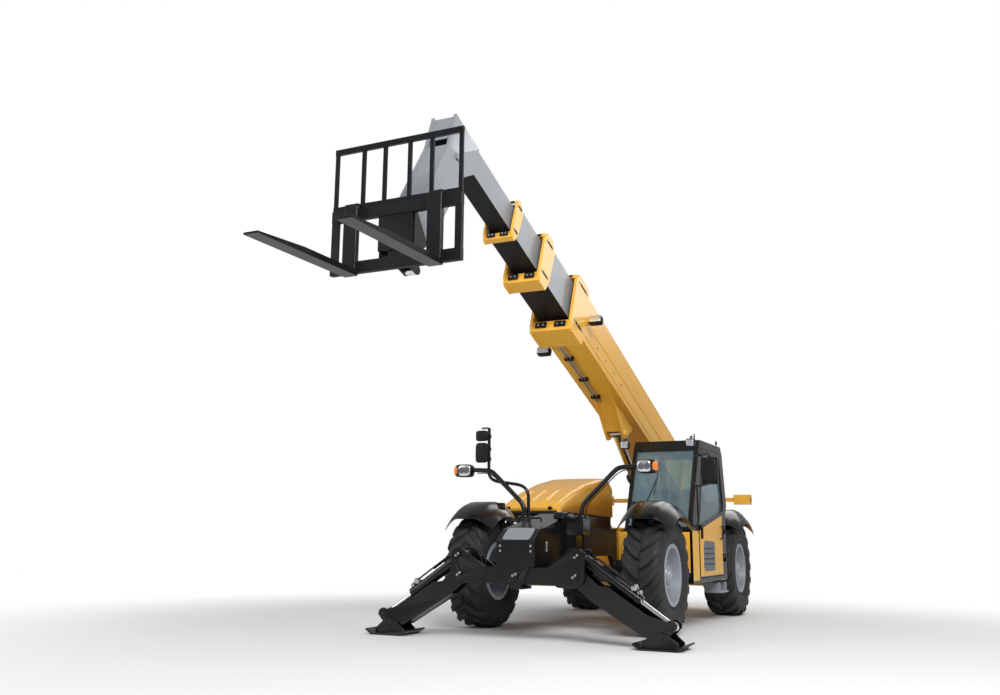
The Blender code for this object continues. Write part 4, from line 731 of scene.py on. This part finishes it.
def cab_skins():
    """Painted skins below the glass, and the door's recessed insert and handle."""
    side_skin = [(-0.830, 0.53), (-0.565, 0.53), (-0.565, 1.055), (-0.60, 1.085), (-0.830, 1.085)]
    front_skin = [(0.325, 0.62), (1.17, 0.62), (1.17, 1.07), (0.325, 1.07)]
    join("cab_side_skin", [slab(side_skin, "x", 1.1985, 1.2065)], YELLOW, "chassis",
         bevel=0.003)
    join("cab_front_skin", [slab(front_skin, "y", -0.8465, -0.8385)], YELLOW, "chassis",
         bevel=0.003)
    panel = box_of("door_panel")[1][0]
    insert = [(-0.43, 0.66), (-0.36, 0.60), (0.13, 0.60), (0.165, 0.64), (0.165, 0.99), (-0.35, 1.005),
              (-0.43, 0.93)]
    inner = [(-0.405, 0.67), (-0.35, 0.625), (0.12, 0.625), (0.14, 0.65), (0.14, 0.965), (-0.34, 0.98),
             (-0.405, 0.915)]
    join("door_insert_rim", [slab(insert, "x", panel - 0.002, panel + 0.005)], YELLOW, "door",
         bevel=0.002)
    join("door_insert", [slab(inner, "x", panel, panel + 0.0065)], STEEL_GREY, "door",
         bevel=0.0015)
    ribs = [slab([(-0.38, z), (0.115, z), (0.115, z + 0.012), (-0.38, z + 0.012)], "x", panel + 0.003,
                 panel + 0.0085) for z in (0.70, 0.76, 0.82, 0.88)]
    join("door_insert_ribs", ribs, SATIN, "door", bevel=0.001)
    grab = [sweep([at(panel + 0.002, 0.47, 1.00), at(panel + 0.026, 0.475, 1.0),
                   at(panel + 0.026, 0.52, 1.15), at(panel + 0.002, 0.525, 1.15)], 0.009, 12, 2)]
    grab.append(pillow(at(panel + 0.004, -0.47, 1.14), (0.022, 0.075, 0.045), 6))
    join("door_handle", grab, SATIN, "door")


def cab_lights():
    """Two work lamps at the front corners of the roof, an aerial and a rear stem."""
    housings, faces, lenses, stems = [], [], [], []
    for x in (0.44, 1.225):
        spot = at(x, CAB_FRONT - 0.045, CAB_ROOF - 0.085)
        housings.append(pillow(spot, (0.105, 0.070, 0.100), 6))
        faces.append(pillow(spot + [0, -0.030, 0], (0.082, 0.018, 0.076), 6))
        lenses.append(pillow(spot + [0, -0.034, 0], (0.088, 0.016, 0.082), 6))
        stems.append(sweep([spot + [0, 0, 0.04], spot + [0, 0.02, 0.075], spot + [0, 0.08, 0.080]], 0.010,
                           10, 2))
    join("roof_lamps", housings, SATIN, "chassis")
    join("roof_lamp_faces", faces, REFLECTOR, "chassis")
    join("roof_lamp_lenses", lenses, LENS, "chassis")
    stems.append(sweep([at(1.17, -0.50, CAB_ROOF - 0.03), at(1.17, -0.50, CAB_ROOF + 0.06)], 0.007, 10, 1))
    stems.append(bar(at(1.17, 0.60, CAB_ROOF - 0.02), (0, 0, 1), 0.006, 0.10))
    stems.append(bar(at(1.17, 0.60, CAB_ROOF + 0.03), (0, 0, 1), 0.013, 0.035))
    join("roof_stems", stems, SATIN, "chassis")


def cab_details():
    """A wiper, a mirror on its arms, a grab rail, and treads on the step."""
    wiper = [sweep([at(0.62, CAB_FRONT - 0.012, 1.16), at(0.66, CAB_FRONT - 0.012, 1.38),
                    at(0.80, CAB_FRONT + 0.012, 1.68)], 0.006, 10, 2),
             bar(at(0.62, CAB_FRONT + 0.004, 1.16), (0, -1, 0), 0.020, 0.022),
             sweep([at(0.765, CAB_FRONT + 0.004, 1.50), at(0.83, CAB_FRONT + 0.028, 1.86)], 0.0045, 8, 1)]
    join("wiper", wiper, SATIN, "chassis")
    mirror("cab", at(1.355, -0.555, 1.775), (0.175, 0.058, 0.290))
    arms = [sweep([at(1.19, -0.58, 1.94), at(1.26, -0.60, 1.955), at(1.352, -0.575, 1.95),
                   at(1.355, -0.56, 1.90)], 0.010, 12, 3),
            sweep([at(1.19, -0.58, 1.60), at(1.27, -0.60, 1.605), at(1.352, -0.575, 1.62),
                   at(1.355, -0.56, 1.67)], 0.010, 12, 3)]
    arms += [bar(at(1.192, -0.58, z - 0.022), (0, 0, 1), 0.017, 0.044) for z in (1.94, 1.60)]
    arms.append(sweep([at(1.205, -0.70, 1.13), at(1.240, -0.70, 1.16), at(1.240, -0.72, 1.60),
                       at(1.205, -0.72, 1.63)], 0.010, 12, 3))
    join("cab_arms", arms, BLACK, "chassis")
    step_low, step_high, _ = box_of("cab_step")
    treads = []
    for k in range(9):
        y = step_low[1] - MIDDLE_Y + 0.05 + k * ((step_high - step_low)[1] - 0.10) / 8
        treads.append(slab([(y - 0.006, step_high[0] - 0.16), (y + 0.006, step_high[0] - 0.16),
                            (y + 0.006, step_high[0] - 0.012), (y - 0.006, step_high[0] - 0.012)], "z",
                           step_high[2] - 0.002, step_high[2] + 0.006, lambda u, v, w: at(v, u, w)))
    join("step_treads", treads, ZINC, "chassis", bevel=0.001)


def seat():
    """Padded base and back with rolled edges on a suspension box, an armrest and a belt catch."""
    low, high, middle = box_of("seat")
    width = (high - low)[0]
    deep = (high - low)[1]
    tall = (high - low)[2]
    base_top = low[2] + 0.38 * tall
    cushion = join("seat_cushion", [pillow((middle[0], middle[1] - 0.04 * deep, base_top - 0.055),
                                           (width * 0.98, deep * 0.88, 0.13), 4.5, steps=40)], FABRIC,
                   "chassis", replaces=("seat",))
    tilt = math.radians(9)
    axes = [(1, 0, 0), (0, math.cos(tilt), -math.sin(tilt)), (0, math.sin(tilt), math.cos(tilt))]
    back = join("seat_back", [pillow((middle[0], high[1] - 0.13 * deep - 0.02,
                                      (base_top + high[2]) / 2 - 0.005),
                                     (width * 0.94, 0.12, (high[2] - base_top) * 0.96), 4.2, axes, 40)],
                FABRIC, "chassis", replaces=("seat",))
    mount = [pillow((middle[0], middle[1], (low[2] + base_top - 0.12) / 2), (width * 0.72, deep * 0.62,
                                                                            base_top - 0.12 - low[2]), 8)]
    mount += [pillow((middle[0] + s * width * 0.47, middle[1] + 0.02, base_top + 0.14),
                     (0.045, deep * 0.52, 0.05), 5) for s in (-1, 1)]
    join("seat_mount", mount, SATIN, "chassis", replaces=("seat",))


cab_skins()
cab_lights()
cab_details()
seat()


# ---- boom ---------------------------------------------------------------------------------------
# end and length along the boom, the section's half width and height, plate, reach below and above
COLLARS = {"boom_outer": (4.86, 0.42, 0.220, 0.290, 0.03, 0.13, 0.05),
           "boom_second": (5.72, 0.26, 0.180, 0.235, 0.03, 0.12, 0.05),
           "boom_third": (6.36, 0.14, 0.140, 0.185, 0.025, 0.08, 0.04)}


def boom_skin():
    """Weld beads along the outer section's lower edges, a pressed rib on each side, and low bolts."""
    _, _, half, height = COLLARS["boom_outer"][:4]
    strips, bolts = [], []
    for _, side in SIDES:
        strips.append(sweep([on_boom(side * (half + 0.001), s, -height + 0.075) for s in np.linspace(0.45,
                                                                                                     4.40,
                                                                                                     9)],
                            0.006, 8, 1, 2))
        strips.append(brick((side * (half - 0.002), side * (half + 0.006)), (1.20, 4.10), (-0.035, 0.045),
                            on_boom))
        for s in (3.05, 3.35, 3.65, 3.95):
            bolts += hexagon(on_boom(side * half, s, -height + 0.16), (side, 0, 0), 0.012, 0.010)
        for s in (0.30, 0.55):
            bolts += hexagon(on_boom(side * half, s, 0.12), (side, 0, 0), 0.014, 0.012)
    join("boom_beads", strips, YELLOW, "boom", bevel=0.002)
    join("boom_bolts", bolts, ZINC, "boom")
    cover = [brick((-0.15, 0.15), (1.4, 2.3), (height - 0.002, height + 0.008), on_boom)]
    join("boom_cover", cover, YELLOW, "boom", bevel=0.003)
    cover_bolts = []
    for s in (1.45, 1.85, 2.25):
        for x in (-0.125, 0.125):
            cover_bolts += hexagon(on_boom(x, s, height + 0.008), tuple(ABOVE), 0.009, 0.007)
    join("boom_cover_bolts", cover_bolts, ZINC, "boom")
    pipes, clamps = [], []
    for x in (-0.10, -0.055):
        route = [(2.95, 0.022), (3.4, 0.022), (3.9, 0.022), (4.30, 0.022), (4.36, 0.035), (4.40, 0.02)]
        pipes.append(sweep([on_boom(x, s, -height - drop) for s, drop in route], 0.011, 10, 2))
    for s in (3.10, 3.55, 4.05):
        clamps.append(brick((-0.135, -0.020), (s - 0.02, s + 0.02), (-height - 0.040, -height + 0.002),
                            on_boom))
    join("boom_pipes", pipes, ZINC, "boom")
    join("boom_clamps", clamps, SATIN, "boom", bevel=0.002)


def collar_trim(node, body):
    """Bolted pads and slots on a head collar's sides, top and underside; the slots are dark capsules, painted
    shade of their hollows.
    """
    end, length, half, height, plate_thick, below, above = COLLARS[node]
    back, outside = end - length, half + plate_thick
    slots, bolts, pads = [], [], []
    for _, side in SIDES:
        for t in (height - 0.045, -height + 0.03):
            centre = ((back + end) / 2, t)
            # Painted shade: each slot is a dark capsule laid on the plate in place of the shadow inside it.
            slots.append(slab(capsule(centre, length * 0.20, 0.016), "x", side * (outside - 0.004),
                              side * (outside + 0.0025), on_boom))
            for s in (back + length * 0.20, end - length * 0.20):
                bolts += hexagon(on_boom(side * outside, s, t), (side, 0, 0), 0.011, 0.009)
        x = side * half * 0.52
        pads.append(brick((x - half * 0.30, x + half * 0.30), (end - 0.032, end + 0.002),
                          (-height - below * 0.62, -height - below * 0.12), on_boom))
        for dx in (-0.6, 0.6):
            bolts += hexagon(on_boom(x + dx * half * 0.22, end + 0.002, -height - below * 0.37),
                             tuple(FORWARD), 0.009, 0.008)
        pads.append(brick((x - half * 0.26, x + half * 0.26), (end - 0.045, end - 0.026),
                          (height + above * 0.10, height + above * 0.72), on_boom))
    join("pads_and_slot_shade_" + node, pads + slots, SATIN, body, bevel=0.002)
    join("bolts_" + node, bolts, ZINC, body)


def boom_lamps():
    """Work lamps behind the first collar: one on an arm to the left, one low on the right."""
    plates = [slab([(4.37, -0.075), (4.43, -0.075), (4.43, 0.0), (4.37, 0.0)], "x", 0.218, 0.300, on_boom),
              slab([(4.31, -0.375), (4.37, -0.375), (4.37, -0.25), (4.31, -0.25)], "x", -0.226, -0.218,
                   on_boom)]
    join("lamp_plate", plates, YELLOW, "boom", bevel=0.002)
    shells, faces, lenses = [], [], []
    axes = [tuple(ACROSS), tuple(-FORWARD), tuple(ABOVE)]
    for x, s, t in ((0.345, 4.40, -0.04), (-0.275, 4.34, -0.365)):
        spot = on_boom(x, s, t)
        shells.append(pillow(spot, (0.165, 0.090, 0.095), 6, axes))
        faces.append(pillow(spot + FORWARD * 0.042, (0.140, 0.014, 0.074), 6, axes))
        lenses.append(pillow(spot + FORWARD * 0.045, (0.146, 0.014, 0.080), 6, axes))
    join("boom_lamps", shells, SATIN, "boom")
    join("boom_lamp_faces", faces, REFLECTOR, "boom")
    join("boom_lamp_lenses", lenses, LENS, "boom")


boom_skin()
collar_trim("boom_outer", "boom")
collar_trim("boom_second", "boom_second")
collar_trim("boom_third", "boom_third")
boom_lamps()


# ---- rear ---------------------------------------------------------------------------------------
def tail():
    """Lamp clusters on the rear arms and the counterweight, a tow pin, and reflectors."""
    caps, reds, ambers, whites = [], [], [], []
    for _, side in SIDES:
        caps.append(pillow(at(side * 1.145, 2.63, 1.57), (0.085, 0.072, 0.078), 6))
        reds.append(pillow(at(side * 1.145, 2.668, 1.585), (0.072, 0.012, 0.035), 6))
        ambers.append(pillow(at(side * 1.184, 2.63, 1.57), (0.010, 0.055, 0.055), 6))
        caps.append(pillow(at(side * 0.80, 3.055, 0.98), (0.20, 0.030, 0.13), 7))
        reds.append(pillow(at(side * 0.83, 3.078, 0.98), (0.10, 0.014, 0.10), 6))
        ambers.append(pillow(at(side * 0.745, 3.078, 1.005), (0.055, 0.014, 0.045), 6))
        whites.append(pillow(at(side * 0.745, 3.078, 0.955), (0.055, 0.014, 0.045), 6))
    join("tail_housings", caps, SATIN, "chassis")
    join("tail_red", reds, RED, "chassis")
    join("tail_amber", ambers, ORANGE, "chassis")
    join("tail_white", whites, REFLECTOR, "chassis")
    hitch = [bar(at(0, 3.075, 0.64), (0, 0, 1), 0.016, 0.17)]
    join("tow_pin", hitch, ZINC, "chassis")
    heads = []
    for x in (-0.55, -0.20, 0.20, 0.55):
        heads += hexagon(at(x, 3.06, 1.08), (0, 1, 0), 0.016, 0.014)
    join("tail_bolts", heads, ZINC, "chassis")


tail()


# ---- stage --------------------------------------------------------------------------------------
def shadeless_far(material, near, far):
    """Floor paint that turns, with distance from the machine and only for the camera, into plain white."""
    nodes, links = material.node_tree.nodes, material.node_tree.links
    shader = nodes["Principled BSDF"]
    light = nodes.new("ShaderNodeEmission")
    light.inputs["Strength"].default_value = 1.0
    mix = nodes.new("ShaderNodeMixShader")
    place = nodes.new("ShaderNodeTexCoord")
    length = nodes.new("ShaderNodeVectorMath")
    length.operation = "LENGTH"
    span = nodes.new("ShaderNodeMapRange")
    span.interpolation_type = "SMOOTHSTEP"
    span.inputs["From Min"].default_value = near
    span.inputs["From Max"].default_value = far
    path = nodes.new("ShaderNodeLightPath")
    seen = nodes.new("ShaderNodeMath")
    seen.operation = "MULTIPLY"
    links.new(place.outputs["Object"], length.inputs[0])
    links.new(length.outputs["Value"], span.inputs["Value"])
    links.new(span.outputs["Result"], seen.inputs[0])
    links.new(path.outputs["Is Camera Ray"], seen.inputs[1])
    links.new(seen.outputs[0], mix.inputs[0])
    links.new(shader.outputs[0], mix.inputs[1])
    links.new(light.outputs[0], mix.inputs[2])
    links.new(mix.outputs[0], nodes["Material Output"].inputs["Surface"])


def studio():
    made = bpy.data.materials.new("pale_floor")
    made.use_nodes = True
    shader = made.node_tree.nodes["Principled BSDF"]
    shader.inputs["Base Color"].default_value = (0.80, 0.80, 0.80, 1)
    shader.inputs["Roughness"].default_value = 0.9
    shader.inputs["Specular IOR Level"].default_value = 0.1
    shadeless_far(made, 3.6, 8.5)
    mesh = bpy.data.meshes.new("floor")
    reach = 60.0
    mesh.from_pydata([(-reach, -reach, -0.0005), (reach, -reach, -0.0005), (reach, reach, -0.0005),
                      (-reach, reach, -0.0005)], [], [(0, 1, 2, 3)])
    mesh.materials.append(made)
    floor = bpy.data.objects.new("floor", mesh)
    bpy.context.scene.collection.objects.link(floor)
    world = bpy.data.worlds.new("studio")
    bpy.context.scene.world = world
    world.use_nodes = True
    nodes, links = world.node_tree.nodes, world.node_tree.links
    back = nodes["Background"]
    back.inputs["Color"].default_value = (1, 1, 1, 1)
    path = nodes.new("ShaderNodeLightPath")
    pick = nodes.new("ShaderNodeMath")
    pick.operation = "MULTIPLY_ADD"
    ambient = 0.36
    pick.inputs[1].default_value = 1.0 - ambient
    pick.inputs[2].default_value = ambient
    links.new(path.outputs["Is Camera Ray"], pick.inputs[0])
    links.new(pick.outputs[0], back.inputs["Strength"])
    for name, place, size, power in (("key", (7, -9, 9), 6.0, 1500), ("fill", (-9, -6, 6), 7.0, 300),
                                     ("rear", (2, 10, 9), 7.0, 420)):
        data = bpy.data.lights.new(name, "AREA")
        data.size = size
        data.energy = power
        lamp = bpy.data.objects.new(name, data)
        bpy.context.scene.collection.objects.link(lamp)
        lamp.location = place
        lamp.rotation_euler = (Vector((0, 0, 1.2)) - Vector(place)).to_track_quat("-Z", "Y").to_euler()


def camera():
    yaw, pitch, roll = math.radians(25.866), math.radians(11.295), math.radians(0.535)
    ahead = Vector((-math.sin(yaw) * math.cos(pitch), math.cos(yaw) * math.cos(pitch), math.sin(pitch)))
    right = Vector((math.cos(yaw), math.sin(yaw), 0))
    up = right.cross(ahead)
    c, s = math.cos(roll), math.sin(roll)
    right, up = c * right + s * up, -s * right + c * up
    data = bpy.data.cameras.new("viewpoint")
    data.sensor_width = 36.0
    data.lens = 34.45
    made = bpy.data.objects.new("viewpoint", data)
    bpy.context.scene.collection.objects.link(made)
    turn = Matrix((right, up, -ahead)).transposed().to_4x4()
    made.matrix_world = Matrix.Translation(Vector(at(4.034, -11.712, 0.978))) @ turn
    bpy.context.scene.camera = made


studio()
camera()
bpy.context.scene.view_settings.view_transform = "Standard"
